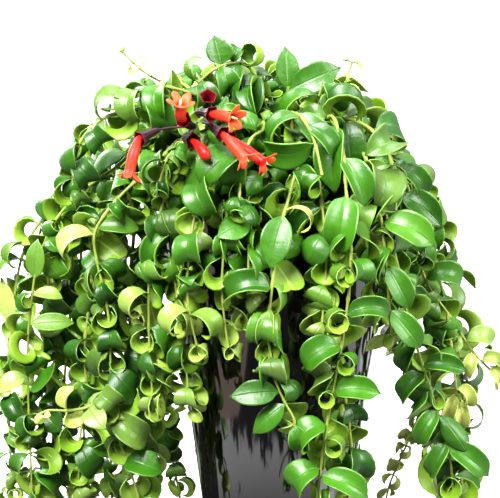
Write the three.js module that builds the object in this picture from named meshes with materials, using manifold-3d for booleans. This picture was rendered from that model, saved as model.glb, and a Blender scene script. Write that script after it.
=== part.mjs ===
// A curly-leaved lipstick plant trailing from a tall tapered planter.
// Millimetres, +Z up. The origin is the centre of the planter's flat foot, and -Y is the plant's front.
// Every shoot is one solid: its stem, its branches and the opposite leaf pairs that grow on them.
import * as THREE from 'three';
import { mergeVertices } from 'three/addons/utils/BufferGeometryUtils.js';
import Module from 'manifold-3d';

const wasm = await Module();
wasm.setup();
const MERGE_DISTANCE = 1e-4;
const TOUCH_VOLUME = 1e-6;

// ---- driving dimensions ----
const GAP = 0.3;                      // clearance kept between touching solids
const PLANTER = { rim: 100, foot: 52, height: 360, wall: 5, floor: 8, lip: 1.5, footEdge: 2 };
const PLANTER_SIDES = 48;
const SOIL_TOP = 350;                 // level of the potting mix
const STEM_BASE = 352;                // where a stem leaves the mix
const STEM_RADIUS = 1.6;
const LEAF_REACH = 18;                // how far a curled leaf stands out from its stem
const LEAF_PITCH = 23;                // distance between two leaf pairs along a stem
const LEAF_SWEEP = 5;                 // how far a leaf's tip lies towards the shoot's tip
const BARE_BASE = 30;                 // stretch of stem without leaves at the root
const BARE_FORK = 12;                 // and of a branch, where it leaves its stem
const FOOT_RISE = 14;                 // straight stretch with which a stem comes out of the mix
const REACH_STEPS = [1, 0.8, 0.6, 0.45, 0.3];   // shares of the reach tried where leaves are crowded
const PAIR_TURN = 0.7;                // turn of the first leaf pair from one shoot to the next, radians
const YOUNG_LEAF = 0.5;               // shoots with leaves smaller than this are pale young ones
// Lengths along a calyx are measured back from its mouth, and a corolla's are shares of its own axis.
const CALYX = { length: 20, shoulder: 4, flare: 8, hollow: 9, stalk: 1.1, tube: 2.7, mouth: 5.6, wall: 0.8 };
const CALYX_SIDES = 10;
const COROLLA = {
  seat: 7.5, bend: 3.5, base: 1.5, neck: 2.6, tube: 4.4, throat: 4.2, lobe: 9.5, notch: 5.2,
};
const COROLLA_SHARES = { base: 0.12, neck: 0.32, tube: 0.6, throat: 0.86 };
const COROLLA_SIDES = 8;
const LOBES = 4;
const LOBE_THICKNESS = 0.9;
const THROAT_WALL = 1.6;
const THROAT_DEPTH = 9;
const BUD = { radius: 4.6, tip: 2.3, full: 0.62, shrink: 0.84, end: 0.98 };
const FRAME_SAMPLES = 40;             // places along a flower's axis where its cross axes are known
// Shares of an arching shoot's way from its root to where it hangs, and of its rise and drop.
const ARCH = { rise: 0.14, riseShare: 0.62, top: 0.42, fall: 0.76, turn: 0.96, past: 1.02, sway: 0.12 };
const ARCH_DROPS = { fall: [24, 0.3], turn: [62, 0.65], hang: [104, 0.85] };

// ---- finishes ----
function finish(color, roughness) {
  return new THREE.MeshStandardMaterial({ color, roughness, metalness: 0 });
}
const planterFinish = finish(0x0b0a0b, 0.08);
const mixFinish = finish(0x3a2a1d, 0.95);
const leafFinish = finish(0x2f7a1f, 0.3);
const youngFinish = finish(0xa8c860, 0.4);
const calyxFinish = finish(0x3c0d1c, 0.5);
const corollaFinish = finish(0xe23a24, 0.4);

// ---- routes of the shoots ----
// Each starts in the mix at root [x, y]; leaf scales the leaves; route lists points along the stem.
const SHOOTS = {
  front_long: { root: [22, -34], leaf: 1.05, route: [
    [30, -48, 402], [42, -72, 428], [50, -104, 403], [52, -129, 371], [55, -137, 336], [55, -138, 309],
    [52, -137, 277], [47, -135, 243], [41, -133, 210], [36, -131, 176], [32, -130, 143], [26, -130, 90],
  ] },
  front_mid: { root: [6, -52], leaf: 1.05, route: [
    [8, -68, 396], [17, -94, 408], [9, -120, 373], [1, -131, 347], [-4, -135, 316], [-7, -136, 289],
    [-10, -136, 267], [-7, -135, 247], [-3, -135, 225], [5, -134, 206], [12, -133, 192], [11, -132, 176],
  ] },
  front_left_short: { root: [-34, -50], leaf: 1, route: [
    [-42, -66, 398], [-50, -98, 403], [-60, -119, 369], [-67, -127, 349], [-71, -129, 322],
    [-72, -128, 288], [-65, -126, 251],
  ] },
  left_front: { root: [-58, -28], leaf: 1, route: [
    [-78, -42, 406], [-100, -62, 387], [-123, -70, 368], [-139, -73, 350], [-149, -73, 332],
    [-147, -72, 309], [-142, -70, 286], [-138, -68, 257], [-137, -66, 210], [-132, -64, 163],
    [-124, -62, 138], [-116, -60, 109], [-112, -58, 81],
  ] },
  left_outer: { root: [-62, -4], leaf: 0.9, route: [
    [-92, -6, 420], [-134, -12, 382], [-165, -14, 360], [-183, -14, 341], [-195, -12, 320],
    [-203, -10, 297], [-208, -8, 270], [-212, -6, 234], [-213, -4, 188], [-212, -3, 136],
    [-211, 0, 55],
  ] },
  left_mid: { root: [-70, 16], leaf: 1, route: [
    [-98, 22, 396], [-133, 28, 361], [-158, 32, 352], [-173, 34, 338], [-177, 34, 313],
    [-179, 34, 260], [-184, 34, 207], [-189, 34, 153], [-193, 34, 99], [-194, 34, 55],
  ] },
  left_far: { root: [-50, 34], leaf: 0.9, route: [
    [-86, 50, 414], [-140, 58, 372], [-178, 64, 352], [-206, 68, 328], [-224, 70, 297],
    [-232, 68, 260], [-237, 66, 220], [-239, 64, 178], [-238, 62, 126], [-236, 60, 60],
  ] },
  left_inner: { root: [-46, -44], leaf: 1, route: [
    [-62, -60, 404], [-77, -84, 394], [-90, -98, 366], [-98, -103, 336], [-103, -103, 304],
    [-104, -101, 267], [-103, -99, 230], [-101, -97, 196],
  ] },
  left_back_fine: { root: [-34, 62], leaf: 0.8, route: [
    [-52, 84, 400], [-86, 108, 343], [-107, 118, 315], [-114, 118, 274], [-115, 112, 219],
    [-108, 106, 165], [-100, 102, 128], [-94, 100, 100], [-87, 98, 63],
  ] },
  right_side: { root: [58, 6], leaf: 1, route: [
    [82, 6, 404], [98, 0, 384], [109, -4, 366], [115, -6, 342], [119, -6, 310], [128, -6, 280],
    [145, -6, 256], [156, -6, 239], [170, -7, 219], [183, -8, 206],
  ] },
  right_front: { root: [50, -26], leaf: 1.15, route: [
    [66, -42, 400], [76, -62, 378], [85, -75, 354], [91, -80, 329], [97, -80, 304], [102, -78, 277],
    [114, -74, 237], [128, -70, 195], [140, -66, 156], [144, -64, 134], [148, -60, 81],
  ] },
  right_outer: { root: [66, 26], leaf: 1.05, route: [
    [90, 38, 406], [104, 42, 378], [113, 46, 346], [124, 46, 316], [138, 44, 288], [150, 42, 254],
    [160, 41, 214], [165, 40, 170], [165, 38, 125], [162, 35, 60],
  ] },
  right_back_fine: { root: [44, 48], leaf: 0.6, route: [
    [64, 72, 404], [97, 90, 363], [119, 98, 335], [132, 100, 295], [139, 98, 250], [140, 94, 204],
    [136, 90, 163], [124, 86, 130], [113, 84, 104], [104, 82, 82], [99, 80, 60],
  ] },
  rim_left: { root: [-18, -62], leaf: 1, route: [
    [-24, -78, 390], [-34, -104, 383], [-40, -120, 359], [-43, -126, 331], [-45, -127, 299],
    [-43, -126, 271], [-40, -125, 249],
  ] },
  rim_centre: { root: [-4, -66], leaf: 1, route: [
    [-8, -84, 386], [-17, -106, 375], [-21, -121, 354], [-24, -126, 327], [-24, -127, 299], [-25, -127, 279],
  ] },
  rim_right: { root: [26, -64], leaf: 1.15, route: [
    [30, -82, 388], [32, -104, 374], [35, -118, 351], [37, -124, 327], [36, -125, 299], [34, -125, 270],
  ] },
  rim_far_right: { root: [42, -48], leaf: 1.25, route: [
    [52, -64, 392], [70, -88, 373], [80, -98, 351], [84, -102, 324], [87, -103, 291], [90, -102, 255],
  ] },
  crown_left: { root: [-44, -14], leaf: 1, route: [
    [-66, -26, 420], [-89, -40, 430], [-114, -52, 433], [-138, -58, 427], [-156, -62, 413],
    [-165, -66, 392], [-167, -68, 368],
  ] },
  crown_front_left: { root: [-30, -34], leaf: 1, route: [
    [-44, -52, 414], [-60, -76, 412], [-75, -92, 410], [-88, -104, 397], [-94, -112, 379],
  ] },
  crown_front: { root: [-10, -36], leaf: 1.2, route: [
    [-12, -54, 420], [-13, -80, 417], [-23, -104, 411], [-29, -122, 389], [-32, -134, 363],
  ] },
  crown_mid: { root: [10, -28], leaf: 1.3, route: [
    [12, -42, 424], [11, -66, 430], [18, -92, 428], [27, -116, 412], [33, -130, 386],
  ] },
  crown_right: { root: [34, -22], leaf: 1.3, route: [
    [50, -32, 420], [60, -46, 423], [74, -60, 417], [87, -72, 401], [93, -80, 377], [94, -84, 353],
  ] },
  crown_far_right: { root: [44, -2], leaf: 1.3, route: [
    [62, -2, 418], [74, -6, 414], [86, -12, 402], [97, -18, 383], [104, -22, 360], [111, -24, 334],
    [118, -26, 309],
  ] },
  top_left_fine: { root: [-30, 2], leaf: 0.42, route: [
    [-48, 0, 420], [-68, -6, 440], [-92, -8, 450], [-106, -10, 457], [-120, -12, 468], [-130, -14, 478],
  ] },
  top_left: { root: [-22, -12], leaf: 1.1, route: [
    [-34, -20, 410], [-53, -34, 435], [-75, -46, 446], [-98, -56, 451], [-118, -64, 445], [-134, -70, 433],
  ] },
  top_mid: { root: [-6, -8], leaf: 1.1, route: [
    [-8, -12, 424], [-16, -18, 450], [-25, -24, 466], [-38, -30, 469], [-52, -36, 464],
    [-66, -42, 453],
  ] },
  top_peak: { root: [6, 4], leaf: 1.2, route: [
    [6, 3, 400], [7, 0, 428], [9, -4, 448],
  ] },
  top_right_big: { root: [18, -10], leaf: 1.4, route: [[22, -16, 404], [30, -26, 430], [38, -34, 453]] },
  top_right_fine: { root: [34, 6], leaf: 0.45, route: [
    [42, 8, 404], [50, 8, 432], [58, 8, 452], [63, 8, 468],
  ] },
  flowering: { root: [-20, -24], leaf: 0.8, route: [
    [-26, -44, 408], [-38, -70, 424], [-50, -92, 430], [-58, -106, 430], [-63, -115, 428],
  ] },
};

// Branches of the shoots: each leaves its shoot's route at point from and follows its own route.
const BRANCHES = {
  left_front: [
    { from: 2, route: [
      [-118, -50, 345], [-120, -44, 315], [-124, -40, 281], [-121, -38, 247], [-118, -36, 213],
      [-114, -34, 176], [-111, -34, 139],
    ] },
    { from: 8, route: [
      [-146, -74, 195], [-157, -78, 190], [-173, -80, 188], [-188, -80, 188], [-197, -80, 184],
    ] },
  ],
  left_outer: [{ from: 3, route: [
    [-190, 4, 319], [-196, 14, 281], [-199, 18, 237], [-204, 20, 192], [-203, 20, 148], [-207, 20, 101],
  ] }],
  left_mid: [{ from: 1, route: [
    [-154, 10, 332], [-156, -8, 303], [-158, -16, 269], [-163, -18, 230], [-162, -18, 187],
    [-168, -18, 148], [-170, -16, 102],
  ] }],
  left_inner: [{ from: 2, route: [
    [-83, -104, 341], [-84, -100, 311], [-81, -98, 283], [-77, -98, 253], [-74, -98, 225],
    [-72, -98, 199],
  ] }],
  front_long: [{ from: 7, route: [[52, -114, 210], [57, -108, 177], [60, -104, 145], [58, -102, 118]] }],
  right_side: [{ from: 6, route: [[147, -14, 234], [150, -19, 209], [153, -20, 184]] }],
};

// Shoots that arch over the back of the rim: root [x, y], crown height, hanging place [x, y], lowest point.
const ARCHES = {
  back_right: { root: [52, 34], crown: 388, hang: [147, 90], end: 92 },
  back_right_mid: { root: [30, 34], crown: 416, hang: [116, 140], end: 200 },
  back_outer_right: { root: [24, 52], crown: 432, hang: [62, 160], end: 60 },
  back_outer: { root: [2, 46], crown: 440, hang: [10, 188], end: 55 },
  back_outer_left: { root: [-16, 48], crown: 434, hang: [-48, 165], end: 62 },
  back_left: { root: [-26, 38], crown: 444, hang: [-120, 150], end: 58 },
  back_left_far: { root: [-44, 48], crown: 436, hang: [-175, 112], end: 70 },
  back_left_mid: { root: [-56, 26], crown: 418, hang: [-148, 76], end: 64 },
  back_inner_right: { root: [16, 66], crown: 402, hang: [34, 128], end: 120 },
  back_inner: { root: [-6, 68], crown: 400, hang: [-18, 136], end: 90 },
  back_inner_left: { root: [-20, 64], crown: 402, hang: [-64, 124], end: 110 },
  crown_back_right: { root: [20, 20], crown: 448, hang: [72, 96], end: 385 },
  crown_back: { root: [-8, 22], crown: 454, hang: [-10, 112], end: 390 },
  crown_back_left: { root: [-28, 20], crown: 448, hang: [-98, 84], end: 385 },
};

// ---- flowers: axis points from the stalk to the mouth of the calyx, and on to the mouth of the corolla ----
const FLOWERS = {
  a: { calyx: [[-72, -118, 423], [-88, -124, 422], [-97, -133, 420], [-108, -142, 415]],
    corolla: [[-112, -150, 404], [-115, -152, 391]] },
  b: { calyx: [[-64, -119, 426], [-66, -127, 424], [-69, -135, 425], [-74, -144, 430]],
    corolla: [[-76, -149, 434], [-75, -155, 442]] },
  c: { calyx: [[-62, -119, 430], [-65, -126, 434], [-60, -134, 435], [-52, -143, 434]],
    corolla: [[-45, -150, 434], [-37, -157, 432]] },
  e: { calyx: [[-60, -119, 426], [-56, -129, 426], [-52, -135, 424], [-44, -143, 419]],
    corolla: [[-36, -150, 411], [-28, -154, 402]] },
  f: { calyx: [[-58, -117, 423], [-52, -121, 421], [-46, -126, 419], [-38, -132, 415]],
    corolla: [[-27, -138, 407], [-14, -143, 398]] },
  spent: { calyx: [[-59, -117, 432], [-57, -124, 436], [-56, -131, 441], [-55, -140, 448]] },
  bud: { calyx: [[-67, -117, 420], [-73, -122, 415], [-72, -128, 414], [-67, -135, 413]],
    corolla: [[-60, -142, 407], [-55, -147, 400]], closed: true },
};

// ---- solids ----
function toSolid(geometry) {
  const bare = geometry.clone();
  bare.deleteAttribute('normal');
  bare.deleteAttribute('uv');
  const merged = mergeVertices(bare, MERGE_DISTANCE);
  const vertProperties = new Float32Array(merged.attributes.position.array);
  const triVerts = new Uint32Array(merged.index.array);
  return new wasm.Manifold(new wasm.Mesh({ numProp: 3, vertProperties, triVerts }));
}

function toGeometry(solid) {
  const { numProp, vertProperties, triVerts } = solid.getMesh();
  const geometry = new THREE.BufferGeometry();
  geometry.setAttribute('position', new THREE.BufferAttribute(new Float32Array(vertProperties), numProp));
  geometry.setIndex(new THREE.BufferAttribute(new Uint32Array(triVerts), 1));
  geometry.computeVertexNormals();
  return geometry;
}

function overlaps(a, b) {
  const boxA = a.boundingBox();
  const boxB = b.boundingBox();
  for (let axis = 0; axis < 3; axis += 1) {
    if (boxA.max[axis] < boxB.min[axis] || boxB.max[axis] < boxA.min[axis]) return false;
  }
  return a.intersect(b).volume() > TOUCH_VOLUME;
}

function vectors(points) {
  return points.map((point) => new THREE.Vector3(...point));
}

function routeCurve(points) {
  return new THREE.CatmullRomCurve3(vectors(points), false, 'centripetal');
}

function unitColumn(sides, steps) {
  return new THREE.CylinderGeometry(1, 1, 1, sides, steps).translate(0, 0.5, 0);
}

// ---- planter and potting mix ----
function planterRadius(z) {
  return PLANTER.foot + (PLANTER.rim - PLANTER.foot) * z / PLANTER.height;
}

function lathe(profile, sides) {
  const points = profile.map(([r, z]) => new THREE.Vector2(r, z));
  return new THREE.LatheGeometry(points, sides).rotateX(Math.PI / 2);
}

function planter() {
  const { rim, foot, height, wall, floor, lip, footEdge } = PLANTER;
  return lathe([
    [0, 0],
    [foot - footEdge, 0],
    [planterRadius(footEdge), footEdge],
    [planterRadius(height - lip), height - lip],
    [rim - lip, height],
    [rim - wall + lip, height],
    [planterRadius(height - lip) - wall, height - lip],
    [planterRadius(floor) - wall, floor],
    [0, floor],
  ], PLANTER_SIDES);
}

function pottingMix() {
  const bottom = PLANTER.floor + GAP;
  const inset = PLANTER.wall + GAP;
  return lathe([
    [0, bottom],
    [planterRadius(bottom) - inset, bottom],
    [planterRadius(SOIL_TOP) - inset, SOIL_TOP],
    [0, SOIL_TOP],
  ], PLANTER_SIDES);
}

// ---- shoots ----
function archRoute({ root, crown, hang, end }) {
  const between = (share, z) => [
    root[0] + (hang[0] - root[0]) * share,
    root[1] + (hang[1] - root[1]) * share,
    z,
  ];
  const drop = crown - end;
  const below = ([most, share]) => crown - Math.min(most, drop * share);
  return [
    between(ARCH.rise, STEM_BASE + (crown - STEM_BASE) * ARCH.riseShare),
    between(ARCH.top, crown),
    between(ARCH.fall, below(ARCH_DROPS.fall)),
    between(ARCH.turn, below(ARCH_DROPS.turn)),
    between(1, below(ARCH_DROPS.hang)),
    between(ARCH.past, (crown + end) / 2 - drop * ARCH.sway),
    between(1, end),
  ];
}

// Stretches of stem: the shoot's own, out of the mix, and one from each fork.
function limbRoutes(name, root, route) {
  const foot = [[root[0], root[1], STEM_BASE], [root[0], root[1], STEM_BASE + FOOT_RISE]];
  const branches = (BRANCHES[name] ?? []).map((branch) => ({
    bare: BARE_FORK,
    points: [route[branch.from], ...branch.route],
  }));
  return [{ bare: BARE_BASE, points: [...foot, ...route] }, ...branches];
}

function limbPlan({ bare, points }, leaf, turn) {
  const curve = routeCurve(points);
  const length = curve.getLength();
  const pitch = LEAF_PITCH * (0.4 + 0.6 * leaf);
  const steps = 2 * Math.round(length / pitch);
  const bareSteps = Math.round(2 * bare / pitch);
  return { curve, steps, bareSteps, turn, reach: LEAF_REACH * leaf, sides: {} };
}

// A diamond section carries the stem; every second ring spreads into a leaf pair, each pair square to the last.
function limbGeometry(plan, swell, first, last) {
  const { curve, steps, turn, reach, sides } = plan;
  const span = last - first;
  const column = unitColumn(4, span);
  const cos = Math.cos(turn);
  const sin = Math.sin(turn);
  const frames = curve.computeFrenetFrames(steps, false);
  const position = column.attributes.position;
  for (let i = 0; i < position.count; i += 1) {
    const x = Math.round(position.getX(i));
    const z = Math.round(position.getZ(i));
    const step = first + Math.round(position.getY(i) * span);
    const side = x !== 0 ? (x > 0 ? 'east' : 'west') : (z > 0 ? 'north' : 'south');
    const share = x === 0 && z === 0 ? 0 : sides[`${step}${side}`] ?? 0;
    const spread = STEM_RADIUS + swell + (share > 0 ? reach * share + swell : 0);
    const across = (x * cos - z * sin) * spread;
    const over = (x * sin + z * cos) * spread;
    const point = curve.getPointAt(step / steps)
      .addScaledVector(frames.binormals[step], across)
      .addScaledVector(frames.normals[step], over)
      .addScaledVector(frames.tangents[step], share > 0 ? LEAF_SWEEP : 0);
    position.setXYZ(i, point.x, point.y, point.z);
  }
  return column;
}

function leafSides(step) {
  return step % 4 === 1 ? ['east', 'west'] : ['north', 'south'];
}

// Gives every leaf the largest share of its reach that stays clear of what is already placed.
function growLeaves(plan, obstacles) {
  for (let step = plan.bareSteps | 1; step < plan.steps; step += 2) {
    for (const side of leafSides(step)) {
      for (const share of REACH_STEPS) {
        const trial = { ...plan, sides: { [`${step}${side}`]: share } };
        const solid = toSolid(limbGeometry(trial, GAP, step - 1, step + 1));
        const free = !obstacles.some((obstacle) => overlaps(solid, obstacle));
        solid.delete();
        if (free) {
          plan.sides[`${step}${side}`] = share;
          break;
        }
      }
    }
  }
}

// ---- flowers ----
function ringProfile(rings, sides) {
  const points = rings.map(([radius], index) => new THREE.Vector2(radius, index / (rings.length - 1)));
  return new THREE.LatheGeometry(points, sides);
}

// Turns rings of [radius, share of the curve] into a closed body bent along the curve.
function bentLathe(curve, rings, sides, widen) {
  const geometry = ringProfile(rings, sides);
  const position = geometry.attributes.position;
  const frames = curve.computeFrenetFrames(FRAME_SAMPLES, false);
  for (let i = 0; i < position.count; i += 1) {
    const ring = Math.round(position.getY(i) * (rings.length - 1));
    const [radius, share] = rings[ring];
    const angle = Math.atan2(position.getX(i), position.getZ(i));
    const spread = radius * (widen ? widen(radius, angle) : 1);
    const sample = Math.round(share * FRAME_SAMPLES);
    const point = curve.getPointAt(share)
      .addScaledVector(frames.binormals[sample], Math.sin(angle) * spread)
      .addScaledVector(frames.normals[sample], Math.cos(angle) * spread);
    position.setXYZ(i, point.x, point.y, point.z);
  }
  return geometry;
}

function calyxGeometry(flower) {
  const curve = routeCurve(flower.calyx);
  const axis = curve.getLength();
  const back = (distance) => 1 - distance / axis;
  const { length, shoulder, flare, hollow, stalk, tube, mouth, wall } = CALYX;
  return bentLathe(curve, [
    [0, 0],
    [stalk, 0],
    [stalk, back(length)],
    [tube, back(length - shoulder)],
    [tube, back(flare)],
    [mouth, 1],
    [mouth - wall, 1],
    [tube - wall, back(flare)],
    [tube - wall, back(hollow)],
    [0, back(hollow)],
  ], CALYX_SIDES);
}

function corollaGeometry(flower) {
  const calyx = routeCurve(flower.calyx);
  const back = (distance) => calyx.getPointAt(1 - distance / calyx.getLength()).toArray();
  const { seat, bend, base, neck, tube, throat, lobe, notch } = COROLLA;
  const curve = routeCurve([back(seat), back(bend), flower.calyx.at(-1), ...flower.corolla]);
  const foot = [[0, 0], [base, 0], [base, COROLLA_SHARES.base], [neck, COROLLA_SHARES.neck]];
  if (flower.closed) {
    return bentLathe(curve, [
      ...foot,
      [BUD.radius, BUD.full],
      [BUD.radius, BUD.shrink],
      [BUD.tip, BUD.end],
      [0, 1],
    ], CALYX_SIDES);
  }
  const inward = 1 - THROAT_DEPTH / curve.getLength();
  const star = (radius, angle) => {
    if (radius < lobe - LOBE_THICKNESS) return 1;
    return (notch + (lobe - notch) * (0.5 + 0.5 * Math.cos(LOBES * angle))) / lobe;
  };
  return bentLathe(curve, [
    ...foot,
    [tube, COROLLA_SHARES.tube],
    [throat, COROLLA_SHARES.throat],
    [lobe, 1],
    [lobe - LOBE_THICKNESS, 1],
    [throat - THROAT_WALL, (1 + COROLLA_SHARES.throat) / 2],
    [throat - THROAT_WALL, inward],
    [0, inward],
  ], COROLLA_SIDES, star);
}

// ---- assembly ----
const plant = new THREE.Group();
const placed = [];

function add(name, geometry, material) {
  const mesh = new THREE.Mesh(geometry, material);
  mesh.name = name;
  plant.add(mesh);
  return mesh;
}

function addObstacle(name, geometry, material) {
  add(name, geometry, material);
  placed.push(toSolid(geometry));
}

addObstacle('planter', planter(), planterFinish);
addObstacle('potting_mix', pottingMix(), mixFinish);
for (const [name, flower] of Object.entries(FLOWERS)) {
  addObstacle(`calyx_${name}`, calyxGeometry(flower), calyxFinish);
  if (flower.corolla) addObstacle(`corolla_${name}`, corollaGeometry(flower), corollaFinish);
}

const shoots = [];
for (const [name, { root, leaf, route }] of Object.entries(SHOOTS)) shoots.push({ name, root, leaf, route });
for (const [name, arch] of Object.entries(ARCHES)) {
  shoots.push({ name, root: arch.root, leaf: 1, route: archRoute(arch) });
}
for (const [index, shoot] of shoots.entries()) {
  const routes = limbRoutes(shoot.name, shoot.root, shoot.route);
  shoot.plans = routes.map((route) => limbPlan(route, shoot.leaf, index * PAIR_TURN));
  shoot.stems = shoot.plans.map((plan) => toSolid(limbGeometry(plan, GAP, 0, plan.steps)));
}
for (const shoot of shoots) {
  const otherStems = shoots.filter((other) => other !== shoot).flatMap((other) => other.stems);
  const limbs = [];
  for (const plan of shoot.plans) {
    growLeaves(plan, [...placed, ...otherStems]);
    limbs.push(toSolid(limbGeometry(plan, 0, 0, plan.steps)));
  }
  const material = shoot.leaf < YOUNG_LEAF ? youngFinish : leafFinish;
  addObstacle(`shoot_${shoot.name}`, toGeometry(wasm.Manifold.union(limbs)), material);
}

export default plant;
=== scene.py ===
"""Builds the finished surfaces of a curly-leaved lipstick plant in a tall glazed planter."""
import itertools
import math
import random

import bmesh
import bpy
import numpy as np
from bpy.props import (FloatProperty, FloatVectorProperty, IntProperty, PointerProperty)
from mathutils import Matrix, Vector, noise


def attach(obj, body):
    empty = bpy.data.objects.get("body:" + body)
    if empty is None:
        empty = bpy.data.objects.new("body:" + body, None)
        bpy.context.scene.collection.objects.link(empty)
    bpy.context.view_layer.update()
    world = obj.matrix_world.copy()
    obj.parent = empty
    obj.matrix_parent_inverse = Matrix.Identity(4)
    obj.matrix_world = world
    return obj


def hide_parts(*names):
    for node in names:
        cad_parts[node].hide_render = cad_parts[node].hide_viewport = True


bl_info = {
    "name": "Curly Lipstick Plant",
    "version": (1, 0, 0),
    "blender": (4, 5, 0),
    "location": "3D View > Sidebar > Lipstick Plant",
    "description": "Builds a trailing lipstick plant with curled leaves in a tall glazed planter",
    "category": "Object",
}

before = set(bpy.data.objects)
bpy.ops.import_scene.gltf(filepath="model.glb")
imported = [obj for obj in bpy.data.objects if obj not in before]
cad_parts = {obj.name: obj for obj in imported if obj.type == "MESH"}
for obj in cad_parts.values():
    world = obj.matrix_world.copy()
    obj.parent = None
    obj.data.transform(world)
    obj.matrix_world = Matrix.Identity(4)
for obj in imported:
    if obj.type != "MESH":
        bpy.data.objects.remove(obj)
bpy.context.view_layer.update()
MM = 0.001

# ---- the plant's layout, in millimetres, as its frame has it ----
SOIL_TOP = 350
STEM_BASE = 352
PLANTER_RIM, PLANTER_FOOT, PLANTER_HEIGHT, PLANTER_WALL = 100, 52, 360, 5
# How far apart leaf pairs stand along a stem, and how much of a stem or branch stays bare at its start.
LEAF_PITCH, CROWN_PITCH = 18.5, 14.5
BARE_BASE, BARE_FORK = 34, 10
# Limbs with pale yellow tips, by shoot and number, the shoot that is olive all along, and how the names of
# the crown's shoots begin.
PALE_TIPS = {("left_front", 2), ("right_side", 0), ("right_side", 1)}
OLIVE_SHOOT = "right_back_fine"
CROWN_SHOOTS = ("crown", "top", "flowering")

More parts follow.
